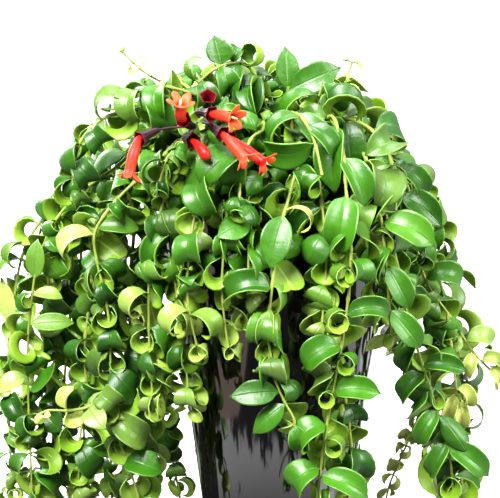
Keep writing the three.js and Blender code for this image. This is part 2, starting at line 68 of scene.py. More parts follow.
# Each shoot's root in the mix (x, y), the scale of its leaves, and its route as points along the stem.
SHOOTS = {
    "front_long": ((22, -34), 1.05, [
        (30, -48, 402), (42, -72, 428), (50, -104, 403), (52, -129, 371), (55, -137, 336),
        (55, -138, 309), (52, -137, 277), (47, -135, 243), (41, -133, 210), (36, -131, 176),
        (32, -130, 143), (26, -130, 90)]),
    "front_mid": ((6, -52), 1.05, [
        (8, -68, 396), (17, -94, 408), (9, -120, 373), (1, -131, 347), (-4, -135, 316), (-7, -136, 289),
        (-10, -136, 267), (-7, -135, 247), (-3, -135, 225), (5, -134, 206), (12, -133, 192),
        (11, -132, 176)]),
    "front_left_short": ((-34, -50), 1, [
        (-42, -66, 398), (-50, -98, 403), (-60, -119, 369), (-67, -127, 349), (-71, -129, 322),
        (-72, -128, 288), (-65, -126, 251)]),
    "left_front": ((-58, -28), 1, [
        (-78, -42, 406), (-100, -62, 387), (-123, -70, 368), (-139, -73, 350), (-149, -73, 332),
        (-147, -72, 309), (-142, -70, 286), (-138, -68, 257), (-137, -66, 210), (-132, -64, 163),
        (-124, -62, 138), (-116, -60, 109), (-112, -58, 81)]),
    "left_outer": ((-62, -4), 0.9, [
        (-92, -6, 420), (-134, -12, 382), (-165, -14, 360), (-183, -14, 341), (-195, -12, 320),
        (-203, -10, 297), (-208, -8, 270), (-212, -6, 234), (-213, -4, 188), (-212, -3, 136),
        (-211, 0, 55)]),
    "left_mid": ((-70, 16), 1, [
        (-98, 22, 396), (-133, 28, 361), (-158, 32, 352), (-173, 34, 338), (-177, 34, 313),
        (-179, 34, 260), (-184, 34, 207), (-189, 34, 153), (-193, 34, 99), (-194, 34, 55)]),
    "left_far": ((-50, 34), 0.9, [
        (-86, 50, 414), (-140, 58, 372), (-178, 64, 352), (-206, 68, 328), (-224, 70, 297),
        (-232, 68, 260), (-237, 66, 220), (-239, 64, 178), (-238, 62, 126), (-236, 60, 60)]),
    "left_inner": ((-46, -44), 1, [
        (-62, -60, 404), (-77, -84, 394), (-90, -98, 366), (-98, -103, 336), (-103, -103, 304),
        (-104, -101, 267), (-103, -99, 230), (-101, -97, 196)]),
    "left_back_fine": ((-34, 62), 0.8, [
        (-52, 84, 400), (-86, 108, 343), (-107, 118, 315), (-114, 118, 274), (-115, 112, 219),
        (-108, 106, 165), (-100, 102, 128), (-94, 100, 100), (-87, 98, 63)]),
    "right_side": ((58, 6), 1, [
        (82, 6, 404), (98, 0, 384), (109, -4, 366), (115, -6, 342), (119, -6, 310), (128, -6, 280),
        (145, -6, 256), (156, -6, 239), (170, -7, 219), (183, -8, 206)]),
    "right_front": ((50, -26), 1.15, [
        (66, -42, 400), (76, -62, 378), (85, -75, 354), (91, -80, 329), (97, -80, 304), (102, -78, 277),
        (114, -74, 237), (128, -70, 195), (140, -66, 156), (144, -64, 134), (148, -60, 81)]),
    "right_outer": ((66, 26), 1.05, [
        (90, 38, 406), (104, 42, 378), (113, 46, 346), (124, 46, 316), (138, 44, 288),
        (150, 42, 254), (160, 41, 214), (165, 40, 170), (165, 38, 125), (162, 35, 60)]),
    "right_back_fine": ((44, 48), 0.6, [
        (64, 72, 404), (97, 90, 363), (119, 98, 335), (132, 100, 295), (139, 98, 250), (140, 94, 204),
        (136, 90, 163), (124, 86, 130), (113, 84, 104), (104, 82, 82), (99, 80, 60)]),
    "rim_left": ((-18, -62), 1, [
        (-24, -78, 390), (-34, -104, 383), (-40, -120, 359), (-43, -126, 331), (-45, -127, 299),
        (-43, -126, 271), (-40, -125, 249)]),
    "rim_centre": ((-4, -66), 1, [
        (-8, -84, 386), (-17, -106, 375), (-21, -121, 354), (-24, -126, 327), (-24, -127, 299),
        (-25, -127, 279)]),
    "rim_right": ((26, -64), 1.15, [
        (30, -82, 388), (32, -104, 374), (35, -118, 351), (37, -124, 327), (36, -125, 299), (34, -125, 270)]),
    "rim_far_right": ((42, -48), 1.25, [
        (52, -64, 392), (70, -88, 373), (80, -98, 351), (84, -102, 324), (87, -103, 291), (90, -102, 255)]),
    "crown_left": ((-44, -14), 1, [
        (-66, -26, 420), (-89, -40, 430), (-114, -52, 433), (-138, -58, 427), (-156, -62, 413),
        (-165, -66, 392), (-167, -68, 368)]),
    "crown_front_left": ((-30, -34), 1, [
        (-44, -52, 414), (-60, -76, 412), (-75, -92, 410), (-88, -104, 397), (-94, -112, 379)]),
    "crown_front": ((-10, -36), 1.2, [
        (-12, -54, 420), (-13, -80, 417), (-23, -104, 411), (-29, -122, 389), (-32, -134, 363)]),
    "crown_mid": ((10, -28), 1.3, [
        (12, -42, 424), (11, -66, 430), (18, -92, 428), (27, -116, 412), (33, -130, 386)]),
    "crown_right": ((34, -22), 1.3, [
        (50, -32, 420), (60, -46, 423), (74, -60, 417), (87, -72, 401), (93, -80, 377), (94, -84, 353)]),
    "crown_far_right": ((44, -2), 1.3, [
        (62, -2, 418), (74, -6, 414), (86, -12, 402), (97, -18, 383), (104, -22, 360),
        (111, -24, 334), (118, -26, 309)]),
    "top_left_fine": ((-30, 2), 0.42, [
        (-48, 0, 420), (-68, -6, 440), (-92, -8, 450), (-106, -10, 457), (-120, -12, 468), (-130, -14, 478)]),
    "top_left": ((-22, -12), 1.1, [
        (-34, -20, 410), (-53, -34, 435), (-75, -46, 446), (-98, -56, 451), (-118, -64, 445),
        (-134, -70, 433)]),
    "top_mid": ((-6, -8), 1.1, [
        (-8, -12, 424), (-16, -18, 450), (-25, -24, 466), (-38, -30, 469), (-52, -36, 464),
        (-66, -42, 453)]),
    "top_peak": ((6, 4), 1.2, [
        (6, 3, 400), (7, 0, 428), (9, -4, 448)]),
    "top_right_big": ((18, -10), 1.4, [(22, -16, 404), (30, -26, 430), (38, -34, 453)]),
    "top_right_fine": ((34, 6), 0.45, [(42, 8, 404), (50, 8, 432), (58, 8, 452), (63, 8, 468)]),
    "flowering": ((-20, -24), 0.8, [
        (-26, -44, 408), (-38, -70, 424), (-50, -92, 430), (-58, -106, 430), (-63, -115, 428)]),
}

# Branches of the shoots: the point of its shoot's route where each starts, then its own route.
BRANCHES = {
    "left_front": [
        (2, [(-118, -50, 345), (-120, -44, 315), (-124, -40, 281), (-121, -38, 247), (-118, -36, 213),
             (-114, -34, 176), (-111, -34, 139)]),
        (8, [(-146, -74, 195), (-157, -78, 190), (-173, -80, 188), (-188, -80, 188), (-197, -80, 184)])],
    "left_outer": [
        (3, [(-190, 4, 319), (-196, 14, 281), (-199, 18, 237), (-204, 20, 192), (-203, 20, 148),
             (-207, 20, 101)])],
    "left_mid": [
        (1, [(-154, 10, 332), (-156, -8, 303), (-158, -16, 269), (-163, -18, 230), (-162, -18, 187),
             (-168, -18, 148), (-170, -16, 102)])],
    "left_inner": [
        (2, [(-83, -104, 341), (-84, -100, 311), (-81, -98, 283), (-77, -98, 253), (-74, -98, 225),
             (-72, -98, 199)])],
    "front_long": [(7, [(52, -114, 210), (57, -108, 177), (60, -104, 145), (58, -102, 118)])],
    "right_side": [(6, [(147, -14, 234), (150, -19, 209), (153, -20, 184)])],
}

# Shoots that arch over the back of the rim: root, crown height, hanging place, lowest point.
ARCHES = {
    "back_right": ((52, 34), 388, (147, 90), 92),
    "back_right_mid": ((30, 34), 416, (116, 140), 200),
    "back_outer_right": ((24, 52), 432, (62, 160), 60),
    "back_outer": ((2, 46), 440, (10, 188), 55),
    "back_outer_left": ((-16, 48), 434, (-48, 165), 62),
    "back_left": ((-26, 38), 444, (-120, 150), 58),
    "back_left_far": ((-44, 48), 436, (-175, 112), 70),
    "back_left_mid": ((-56, 26), 418, (-148, 76), 64),
    "back_inner_right": ((16, 66), 402, (34, 128), 120),
    "back_inner": ((-6, 68), 400, (-18, 136), 90),
    "back_inner_left": ((-20, 64), 402, (-64, 124), 110),
    "crown_back_right": ((20, 20), 448, (72, 96), 385),
    "crown_back": ((-8, 22), 454, (-10, 112), 390),
    "crown_back_left": ((-28, 20), 448, (-98, 84), 385),
}

# Leaves that are easily seen, each placed on its own. A row has the limb of its shoot, how far along it the
# leaf grows, the way it points, the way its upper side faces, length, width, curl in degrees, fold, twist,
# tone from 0 (dark) to 1 (light) and youth.
FEATURES = {
    "top_peak": [
        (0, 99, (0.02, -0.10, 1.0), (0.1, -1.0, 0.1), 37, 20, 25, 0.15, 0.05, 0.5, 0.0),
        (0, 97, (0.82, -0.30, 0.40), (-0.2, -0.95, 0.2), 50, 26, 50, 0.25, 0.15, 0.35, 0.0)],
    "top_mid": [
        (0, 127, (0.8, -0.50, -0.2), (-0.1, 0.3, 1.0), 72, 17, -480, 0.2, 0.35, 0.9, 0.1),
        (0, 150, (-0.12, -0.1, 1.0), (0.1, -1.0, 0.1), 25, 24, 15, 0.45, 0.05, 0.4, 0.0),
        (0, 140, (0.25, -0.3, 1.0), (-0.2, -0.9, 0.4), 20, 14, 120, 0.4, 0.2, 0.3, 0.0),
        (0, 130, (-0.45, -0.60, -0.55), (0.1, -0.60, 0.8), 42, 23, 150, 0.4, 0.2, 0.3, 0.0),
        (0, 148, (0.30, -0.60, -0.60), (-0.1, -0.55, 0.8), 38, 22, 190, 0.5, -0.2, 0.5, 0.0),
        (0, 170, (0.35, -0.60, -0.40), (0.0, -0.60, 0.8), 38, 21, 210, 0.4, 0.2, 0.2, 0.0),
        (0, 118, (-0.15, -0.60, -0.75), (-0.1, -0.8, 0.6), 44, 28, 60, 0.3, 0.2, 0.05, 0.0),
        (0, 105, (-0.5, -0.8, 0.2), (-0.4, 0.1, 0.9), 50, 20, 120, 0.6, 0.3, 0.3, 0.0)],
    "top_left": [
        (0, 148, (-0.40, -0.75, 0.15), (-0.3, -0.3, 0.9), 46, 25, 170, 0.4, 0.2, 0.7, 0.0),
        (0, 170, (-0.55, -0.75, 0.10), (-0.2, -0.2, 0.9), 42, 22, 190, 0.5, -0.2, 0.6, 0.1)],
    "top_right_big": [
        (0, 98, (-0.9, -0.5, 0.3), (-0.2, -0.5, 0.9), 62, 25, 210, 0.5, 0.4, 0.6, 0.0)],
    "crown_right": [
        (0, 86, (0.10, -0.45, -0.85), (0.1, -0.85, 0.4), 42, 28, 50, 0.4, 0.1, 0.35, 0.0)],
    "crown_mid": [
        (0, 165, (-0.80, -0.35, -0.50), (-0.15, -0.75, -0.65), 54, 27, 120, 0.3, 0.2, 0.7, 0.0),
        (0, 114, (0.62, -0.50, -0.45), (0.0, -0.75, 0.65), 44, 23, 60, 0.5, 0.2, 0.5, 0.0),
        (0, 128, (-0.80, -0.45, 0.10), (-0.1, -0.50, 0.9), 46, 22, 150, 0.5, 0.3, 0.4, 0.0),
        (0, 144, (0.70, -0.55, -0.30), (0.0, -0.65, 0.75), 42, 22, 110, 0.5, -0.2, 0.3, 0.0)],
    "front_mid": [
        (0, 146, (0.8, -0.25, 0.4), (-0.4, -0.15, 0.9), 46, 9, 215, 0.2, 0.0, 1.0, 0.9),
        (0, 150, (-0.30, -0.50, -0.80), (0.0, -0.85, 0.5), 46, 25, 40, 0.3, 0.1, 0.5, 0.0),
        (0, 210, (-0.7, -0.5, 0.35), (-0.2, -0.8, 0.7), 54, 30, 160, 0.75, 0.2, 0.2, 0.0),
        (0, 293, (-1.0, -0.20, 0.06), (0.0, -1.0, 0.35), 41, 21, 35, 0.25, 0.2, 0.25, 0.0),
        (0, 304, (-0.8, -0.25, -0.5), (-0.2, -1.0, 0.3), 38, 20, 55, -0.4, 0.2, 0.6, 0.0),
        (0, 321, (0.20, -0.40, -0.90), (0.0, -0.9, 0.4), 29, 18, 100, 0.6, 0.4, 0.6, 0.0)],
    "front_long": [
        (0, 112, (-0.20, -0.62, -0.70), (-0.3, -0.80, 0.5), 60, 30, 60, 0.65, 0.2, 0.6, 0.0),
        (0, 146, (0.40, -0.60, -0.60), (0.1, -0.80, 0.6), 46, 27, 70, 0.7, -0.2, 0.55, 0.0),
        (0, 181, (-0.15, -0.62, -0.70), (0.1, -0.80, 0.6), 52, 31, 85, 0.65, 0.35, 0.8, 0.0),
        (0, 231, (0.70, -0.60, 0.1), (0.2, -0.2, 1.0), 46, 24, 330, 0.3, 0.2, 0.6, 0.0),
        (0, 238, (-0.80, -0.25, 0.35), (0.1, -0.1, 1.0), 46, 20, 380, 0.2, 0.1, 0.8, 0.1),
        (0, 272, (-0.90, -0.15, 0.30), (0.1, -0.1, 1.0), 60, 18, 430, 0.2, 0.05, 0.7, 0.1),
        (0, 276, (0.75, -0.45, 0.45), (-0.2, -0.7, 0.6), 42, 22, 110, 0.8, 0.4, 0.35, 0.0),
        (0, 300, (-0.75, -0.50, 0.10), (0.0, -0.7, 0.7), 42, 26, 120, 0.6, -0.3, 0.5, 0.0),
        (0, 306, (0.85, -0.20, 0.10), (-0.1, -0.15, 1.0), 50, 18, 400, 0.2, 0.05, 0.6, 0.0),
        (0, 336, (-0.80, -0.20, 0.30), (0.1, -0.1, 1.0), 44, 16, 400, 0.2, 0.05, 0.8, 0.1),
        (0, 338, (0.80, -0.45, 0.20), (0.0, -0.75, 0.6), 40, 24, 60, 0.7, 0.3, 0.7, 0.0),
        (0, 366, (-0.70, -0.55, 0.20), (0.0, -0.6, 0.8), 46, 26, 190, 0.3, 0.2, 0.75, 0.0),
        (0, 378, (0.75, -0.20, 0.40), (-0.1, -0.1, 1.0), 48, 18, 380, 0.2, 0.05, 0.8, 0.1),
        (0, 400, (-0.75, -0.55, 0.20), (0.0, -0.6, 0.8), 46, 26, 190, 0.3, -0.2, 0.7, 0.0),
        (0, 408, (0.80, -0.50, 0.0), (0.0, -0.7, 0.7), 46, 24, 80, 0.6, 0.3, 0.8, 0.0)],
    "front_left_short": [
        (0, 122, (-0.45, -0.70, 0.35), (-0.5, -0.1, 0.9), 56, 26, 210, 0.4, 0.2, 0.5, 0.0),
        (0, 225, (-0.75, -0.55, 0.40), (0.2, -0.2, 0.9), 44, 19, 215, 0.3, -0.2, 1.0, 0.35),
        (0, 228, (0.75, -0.55, 0.40), (-0.2, -0.2, 0.9), 48, 19, 225, 0.3, 0.2, 1.0, 0.2)],
    "rim_far_right": [
        (0, 154, (0.48, -0.40, -0.75), (0.1, -1.0, 0.5), 44, 21, 60, 0.5, 0.2, 0.6, 0.0),
        (0, 190, (0.60, -0.45, -0.60), (0.1, -1.0, 0.4), 44, 22, 70, 0.5, 0.25, 0.75, 0.0)],
    "crown_far_right": [
        (0, 132, (0.75, -0.55, -0.05), (0.0, -0.6, 0.8), 46, 22, 150, 0.6, 0.4, 0.25, 0.0),
        (0, 100, (-0.30, -0.60, -0.50), (0.1, -0.7, 0.7), 42, 22, 170, 0.6, 0.3, 0.4, 0.0),
        (0, 120, (-0.35, -0.65, -0.35), (0.1, -0.6, 0.8), 44, 22, 190, 0.6, -0.3, 0.5, 0.0),
        (0, 152, (0.60, -0.60, -0.30), (0.0, -0.8, 0.6), 46, 26, 60, 0.6, 0.3, 0.25, 0.0),
        (0, 146, (-0.60, -0.60, -0.45), (0.0, -0.8, 0.6), 44, 26, 60, 0.5, -0.2, 0.3, 0.0),
        (0, 205, (-0.04, -0.30, 1.0), (0.0, -1.0, 0.1), 42, 23, 20, 0.3, 0.1, 0.5, 0.0)],
    "right_side": [
        (0, 196, (0.70, -0.45, 0.40), (-0.1, -0.7, 0.7), 42, 24, 130, 0.6, 0.3, 0.6, 0.0),
        (0, 262, (0.6, -0.40, 0.55), (-0.3, -0.6, 0.8), 38, 21, 190, 0.5, 0.4, 1.0, 0.3),
        (0, 281, (0.5, -0.60, 0.50), (-0.3, -0.6, 0.8), 30, 17, 240, 0.9, 0.5, 1.0, 0.5),
        (0, 290, (0.5, -0.60, -0.20), (0.1, -0.8, 0.6), 30, 17, 200, 0.9, 0.5, 1.0, 0.7),
        (0, 274, (-0.4, -0.60, -0.50), (0.1, -0.9, 0.4), 32, 18, 170, 0.9, -0.5, 1.0, 0.6),
        (1, 62, (0.5, -0.60, 0.10), (0.1, -0.5, 0.8), 30, 17, 230, 0.9, 0.5, 1.0, 0.75),
        (1, 70, (-0.45, -0.55, -0.50), (0.0, -0.7, 0.6), 32, 17, 150, 0.9, -0.4, 1.0, 1.0),
        (1, 72, (0.25, -0.50, -0.75), (0.2, -0.8, 0.4), 32, 17, 120, 0.8, 0.5, 1.0, 1.0)],
    "right_front": [
        (0, 228, (-0.40, -0.50, -0.70), (0.0, -0.85, 0.5), 36, 20, 90, 0.8, 0.3, 0.4, 0.0),
        (0, 255, (0.85, -0.40, 0.10), (0.05, -0.75, 0.65), 38, 21, 55, 0.8, 0.3, 0.3, 0.0),
        (0, 262, (-0.70, -0.45, -0.45), (0.0, -0.80, 0.6), 38, 22, 95, 0.8, 0.4, 0.3, 0.0),
        (0, 296, (-0.60, -0.50, -0.55), (0.0, -0.80, 0.6), 37, 21, 85, 0.8, -0.3, 0.6, 0.0),
        (0, 300, (0.60, -0.50, -0.60), (0.1, -0.85, 0.5), 44, 23, 65, -0.6, 0.4, 0.3, 0.0),
        (0, 325, (-0.50, -0.50, -0.65), (0.0, -0.85, 0.5), 38, 20, 90, 0.8, 0.4, 0.5, 0.0),
        (0, 330, (0.75, -0.45, -0.35), (0.0, -0.80, 0.6), 46, 25, 65, 0.7, 0.3, 0.5, 0.0)],
    "right_outer": [
        (0, 287, (-0.95, -0.35, -0.15), (0.0, -0.8, 0.6), 44, 20, 60, 0.7, 0.3, 0.25, 0.0)],
    "left_far": [
        (0, 334, (-0.15, -0.2, 1.0), (-0.2, -1.0, 0.1), 44, 17, 20, 0.2, 0.1, 1.0, 0.6),
        (0, 262, (-0.70, -0.5, 0.4), (-0.3, -0.2, 0.9), 40, 20, 190, 0.4, 0.3, 0.6, 0.1),
        (0, 276, (-0.60, -0.5, 0.2), (-0.2, -0.5, 0.8), 34, 19, 120, 0.5, 0.3, 0.7, 0.1)],
    "left_outer": [
        (0, 128, (-0.9, -0.4, 0.3), (-0.2, -0.6, 0.8), 52, 27, 150, -0.3, 0.2, 0.2, 0.0),
        (0, 266, (0.1, -0.35, 1.0), (-0.2, -0.9, 0.2), 36, 17, 35, 0.2, 0.1, 0.9, 0.1),
        (0, 277, (0.9, -0.35, 0.15), (0.0, -0.6, 0.8), 28, 14, 60, 0.3, 0.1, 1.0, 0.35),
        (0, 306, (1.0, -0.25, 0.15), (0.0, -0.8, 0.6), 40, 17, 40, 0.3, 0.3, 1.0, 0.12),
        (0, 362, (0.85, -0.40, 0.40), (-0.3, -0.6, 0.7), 46, 18, -50, 0.4, 0.2, 0.7, 0.0),
        (0, 352, (-0.75, -0.40, -0.05), (0.0, -0.8, 0.6), 34, 18, 70, 0.2, 0.2, 1.0, 0.4)],
    "crown_left": [
        (0, 168, (-0.45, -0.30, 0.80), (-0.8, 0.1, -0.45), 66, 21, 300, 0.3, 0.25, 0.6, 0.1),
        (0, 128, (0.2, -0.70, 0.60), (-0.3, 0.3, 0.9), 58, 24, 260, 0.5, 0.25, 0.3, 0.0)],
    "left_front": [
        (0, 172, (1.0, -0.30, 0.15), (-0.2, -0.7, 0.7), 36, 19, 50, 0.6, 0.3, 0.5, 0.05),
        (0, 179, (-0.85, -0.35, 0.35), (0.1, -0.4, 0.9), 46, 21, 150, 0.3, -0.3, 1.0, 0.65),
        (1, 112, (0.55, -0.45, 0.55), (-0.4, 0.0, 0.9), 62, 19, 400, 0.2, 0.3, 1.0, 0.55)],
    "left_inner": [
        (0, 207, (-0.75, -0.55, 0.40), (0.2, -0.2, 0.9), 48, 18, 240, 0.3, -0.2, 1.0, 0.35),
        (1, 96, (0.7, -0.7, 0.3), (0.1, -0.1, 1.0), 58, 19, 360, 0.2, -0.1, 1.0, 0.4)],
}

# Axis points of each flower: from the stalk to the calyx's mouth, then on to the corolla's mouth.
FLOWERS = {
    "a": ([(-72, -118, 423), (-88, -124, 422), (-97, -133, 420), (-108, -142, 415)],
          [(-112, -150, 404), (-115, -152, 391)]),
    "b": ([(-64, -119, 426), (-66, -127, 424), (-69, -135, 425), (-74, -144, 430)],
          [(-76, -149, 434), (-75, -155, 442)]),
    "c": ([(-62, -119, 430), (-65, -126, 434), (-60, -134, 435), (-52, -143, 434)],
          [(-45, -150, 434), (-37, -157, 432)]),
    "e": ([(-60, -119, 426), (-56, -129, 426), (-52, -135, 424), (-44, -143, 419)],
          [(-36, -150, 411), (-28, -154, 402)]),
    "f": ([(-58, -117, 423), (-52, -121, 421), (-46, -126, 419), (-38, -132, 415)],
          [(-27, -138, 407), (-14, -143, 398)]),
    "spent": ([(-59, -117, 432), (-57, -124, 436), (-56, -131, 441), (-55, -140, 448)], None),
    "bud": ([(-67, -117, 420), (-73, -122, 415), (-72, -128, 414), (-67, -135, 413)],
            [(-60, -142, 407), (-55, -147, 400)]),
}
BUD = "bud"


# ---- settings ----
class LeafSettings(bpy.types.PropertyGroup):
    """Size and colour of the curled leaves"""
    length: FloatProperty(name="Leaf Length", description="Length of a full leaf laid flat",
                          default=0.046, unit="LENGTH")
    width: FloatProperty(name="Leaf Width", description="Width of a full leaf laid flat",
                         default=0.0245, unit="LENGTH")
    thickness: FloatProperty(name="Leaf Thickness", description="Thickness of the fleshy blade",
                             default=0.0008, unit="LENGTH")
    curl: FloatProperty(name="Curl", description="Usual turn of a leaf from its foot to its tip",
                        default=math.radians(275), subtype="ANGLE")
    upper: FloatVectorProperty(name="Upper Side", description="Colour of the glossy upper side",
                               default=(0.054, 0.190, 0.006), subtype="COLOR")
    upper_dark: FloatVectorProperty(name="Upper Side, Old", description="Colour of the oldest upper sides",
                                    default=(0.006, 0.044, 0.003), subtype="COLOR")
    under: FloatVectorProperty(name="Underside", description="Colour of the paler underside",
                               default=(0.20, 0.365, 0.012), subtype="COLOR")
    margin: FloatVectorProperty(name="Margin", description="Colour of the thick pale margin",
                                default=(0.16, 0.30, 0.07), subtype="COLOR")
    young: FloatVectorProperty(name="Young Leaf", description="Colour of the youngest leaves",
                               default=(0.58, 0.64, 0.18), subtype="COLOR")
    seed: IntProperty(name="Seed", description="Draw of the leaves' turns and curls", default=11)


class StemSettings(bpy.types.PropertyGroup):
    """Size and colour of the stems"""
    radius: FloatProperty(name="Stem Radius", description="Radius of a stem at its root",
                          default=0.0016, unit="LENGTH")
    color: FloatVectorProperty(name="Stem", description="Colour of a green stem",
                               default=(0.27, 0.37, 0.06), subtype="COLOR")
    aged: FloatVectorProperty(name="Old Stem", description="Colour of a browned stem",
                              default=(0.17, 0.13, 0.04), subtype="COLOR")


class PlanterSettings(bpy.types.PropertyGroup):
    """Finish of the planter and its potting mix"""
    glaze: FloatVectorProperty(name="Glaze", description="Colour of the planter's glaze",
                               default=(0.003, 0.0025, 0.0027), subtype="COLOR")
    mix: FloatVectorProperty(name="Potting Mix", description="Colour of the damp bark mix",
                             default=(0.040, 0.022, 0.012), subtype="COLOR")
    lip: FloatProperty(name="Lip Rounding", description="Radius of the rounded rim",
                       default=0.0022, unit="LENGTH")


class FlowerSettings(bpy.types.PropertyGroup):
    """Sizes and colours of the flowers"""
    calyx: FloatVectorProperty(name="Calyx", description="Outside of the dark calyx",
                               default=(0.020, 0.0035, 0.009), subtype="COLOR")
    calyx_inside: FloatVectorProperty(name="Calyx Inside", description="Inside of the calyx",
                                      default=(0.16, 0.004, 0.012), subtype="COLOR")
    corolla: FloatVectorProperty(name="Corolla", description="Red of the corolla tube",
                                 default=(0.50, 0.012, 0.009), subtype="COLOR")
    throat: FloatVectorProperty(name="Throat", description="Orange of the lobes and throat",
                                default=(0.70, 0.086, 0.034), subtype="COLOR")


class StageSettings(bpy.types.PropertyGroup):
    """Floor, lights and camera"""
    backdrop: FloatVectorProperty(name="Backdrop", description="Colour of the floor and backdrop",
                                  default=(0.80, 0.80, 0.80), subtype="COLOR")
    glow: FloatProperty(name="Backdrop Glow", description="Light that the far floor gives off",
                        default=0.90)
    # How far the painted reflection's table and boards reach; the floor gives them off to glossy rays only.
    painted_table_edge: FloatProperty(name="Table Edge", description="How far away the mirrored table ends",
                              default=0.43, unit="LENGTH")
    painted_boards_edge: FloatProperty(name="Boards Edge", description="How far left the mirrored boards reach",
                               default=1.1, unit="LENGTH")
    distance: FloatProperty(name="Camera Distance", description="From the camera to the point it looks at",
                            default=1.6, unit="LENGTH")
    elevation: FloatProperty(name="Camera Elevation", description="How far the camera looks down",
                             default=math.radians(8), subtype="ANGLE")
    lens: FloatProperty(name="Lens", description="Focal length on a 36 mm sensor", default=135.6)


# ---- routes ----
# An arching shoot: at each point its share of the way out, and how far it has dropped from its crown, as the
# most in millimetres and the most as a share of its whole drop.
ARCH = {"rise": 0.14, "rise_share": 0.62, "top": 0.42, "fall": 0.76, "turn": 0.96, "past": 1.02, "sway": 0.12}
ARCH_DROPS = {"fall": (24, 0.3), "turn": (62, 0.65), "hang": (104, 0.85)}
FRAME_SIDE = (0.0, 1.0, 0.2)
TINY = 1e-9


def unit(v):
    """The vector at length 1."""
    return v / np.linalg.norm(v)


def arch_route(root, crown, hang, end):
    """Points of a shoot that rises from its root, arches over the rim and hangs down to its end."""
    drop = crown - end

    def between(share, z):
        return (root[0] + (hang[0] - root[0]) * share, root[1] + (hang[1] - root[1]) * share, z)

    def fallen(point):
        most, most_share = ARCH_DROPS[point]
        return crown - min(most, drop * most_share)

    return [
        between(ARCH["rise"], STEM_BASE + (crown - STEM_BASE) * ARCH["rise_share"]),
        between(ARCH["top"], crown),
        between(ARCH["fall"], fallen("fall")),
        between(ARCH["turn"], fallen("turn")),
        between(1, fallen("hang")),
        between(ARCH["past"], (crown + end) / 2 - drop * ARCH["sway"]),
        between(1, end),
    ]


def blend(start, end, t, from_t, to_t):
    """The point at t on a straight line that is at start at from_t and at end at to_t."""
    return start * (to_t - t) / (to_t - from_t) + end * (t - from_t) / (to_t - from_t)


def smooth_path(points, step):
    """Samples a centripetal Catmull-Rom curve through the points every step or so."""
    p = [np.array(q, float) for q in points]
    p = [2 * p[0] - p[1]] + p + [2 * p[-1] - p[-2]]
    out = []
    for a, b, c, d in zip(p, p[1:], p[2:], p[3:]):
        knots = [0.0]
        for start, end in ((a, b), (b, c), (c, d)):
            knots.append(knots[-1] + max(np.linalg.norm(end - start), TINY) ** 0.5)
        t0, t1, t2, t3 = knots
        count = max(2, int(np.linalg.norm(c - b) / step))
        for t in np.linspace(t1, t2, count, endpoint=False):
            middle = blend(b, c, t, t1, t2)
            before = blend(blend(a, b, t, t0, t1), middle, t, t0, t2)
            after = blend(middle, blend(c, d, t, t2, t3), t, t1, t3)
            out.append(blend(before, after, t, t1, t2))
    out.append(p[-2])
    return np.array(out)


def path_frames(path):
    """Tangents and two cross axes that turn as little as they can along the path."""
    tangents = np.gradient(path, axis=0)
    tangents /= np.linalg.norm(tangents, axis=1)[:, None]
    side = unit(np.cross(tangents[0], FRAME_SIDE))
    sides = [side]
    for t in tangents[1:]:
        side = unit(side - t * np.dot(side, t))
        sides.append(side)
    sides = np.array(sides)
    return tangents, sides, np.cross(tangents, sides)


def arc_lengths(path):
    """How far along the path each of its points is."""
    return np.concatenate([[0.0], np.cumsum(np.linalg.norm(np.diff(path, axis=0), axis=1))])


def point_at(along, place):
    """Number of a path's first point past this place, from how far along it its points are."""
    return min(int(np.searchsorted(along, place)), len(along) - 1)


# ---- nodes ----
class Signal:
    """A number in a node tree; arithmetic on it adds Math nodes to the tree."""

    def __init__(self, tree, socket):
        self.tree = tree
        self.socket = socket

    def __add__(self, other):
        return math_node(self.tree, "ADD", self, other)

    def __sub__(self, other):
        return math_node(self.tree, "SUBTRACT", self, other)

    def __rsub__(self, other):
        return math_node(self.tree, "SUBTRACT", other, self)

    def __mul__(self, other):
        return math_node(self.tree, "MULTIPLY", self, other)

    def clamped(self):
        """The same number, held between 0 and 1 by the Math node that it comes from."""
        self.socket.node.use_clamp = True
        return self

    def mapped(self, low, high, source=(0.0, 1.0), smooth=False):
        """This number's source range spread over low to high, and held at its ends."""
        node = self.tree.nodes.new("ShaderNodeMapRange")
        node.interpolation_type = "SMOOTHSTEP" if smooth else "LINEAR"
        feed(self.tree, node, Value=self, From_Min=source[0], From_Max=source[1], To_Min=low, To_Max=high)
        return Signal(self.tree, node.outputs[0])

    def above(self, limit):
        """1 where this number is more than the limit, else 0."""
        return math_node(self.tree, "GREATER_THAN", self, limit)

    def between(self, low, high):
        """1 where this number lies between low and high, else 0."""
        return self.above(low) * math_node(self.tree, "LESS_THAN", self, high)


def plug(tree, value, socket):
    """Feeds a socket from a signal or another socket, or sets it to a number or a colour."""
    if isinstance(value, Signal):
        tree.links.new(value.socket, socket)
    elif isinstance(value, bpy.types.NodeSocket):
        tree.links.new(value, socket)
    elif isinstance(value, (int, float)):
        socket.default_value = value
    else:
        socket.default_value = (*value, 1.0)


def feed(tree, node, **inputs):
    """Plugs values into a node's inputs by name, with an underscore for each space."""
    for name, value in inputs.items():
        plug(tree, value, node.inputs[name.replace("_", " ")])


def math_node(tree, operation, first, second=None):
    """The result of a Math node on one or two numbers or signals."""
    node = tree.nodes.new("ShaderNodeMath")
    node.operation = operation
    plug(tree, first, node.inputs[0])
    if second is not None:
        plug(tree, second, node.inputs[1])
    return Signal(tree, node.outputs[0])


def noise_texture(tree, **inputs):
    """How strong a noise texture with these inputs is."""
    node = tree.nodes.new("ShaderNodeTexNoise")
    feed(tree, node, **inputs)
    return Signal(tree, node.outputs[0])


def joined(tree, **parts):
    """The vector that has these parts X, Y and Z."""
    node = tree.nodes.new("ShaderNodeCombineXYZ")
    feed(tree, node, **parts)
    return node.outputs[0]


def parts_of(tree, vector):
    """The X, Y and Z of a vector."""
    node = tree.nodes.new("ShaderNodeSeparateXYZ")
    tree.links.new(vector, node.inputs[0])
    return [Signal(tree, socket) for socket in node.outputs]


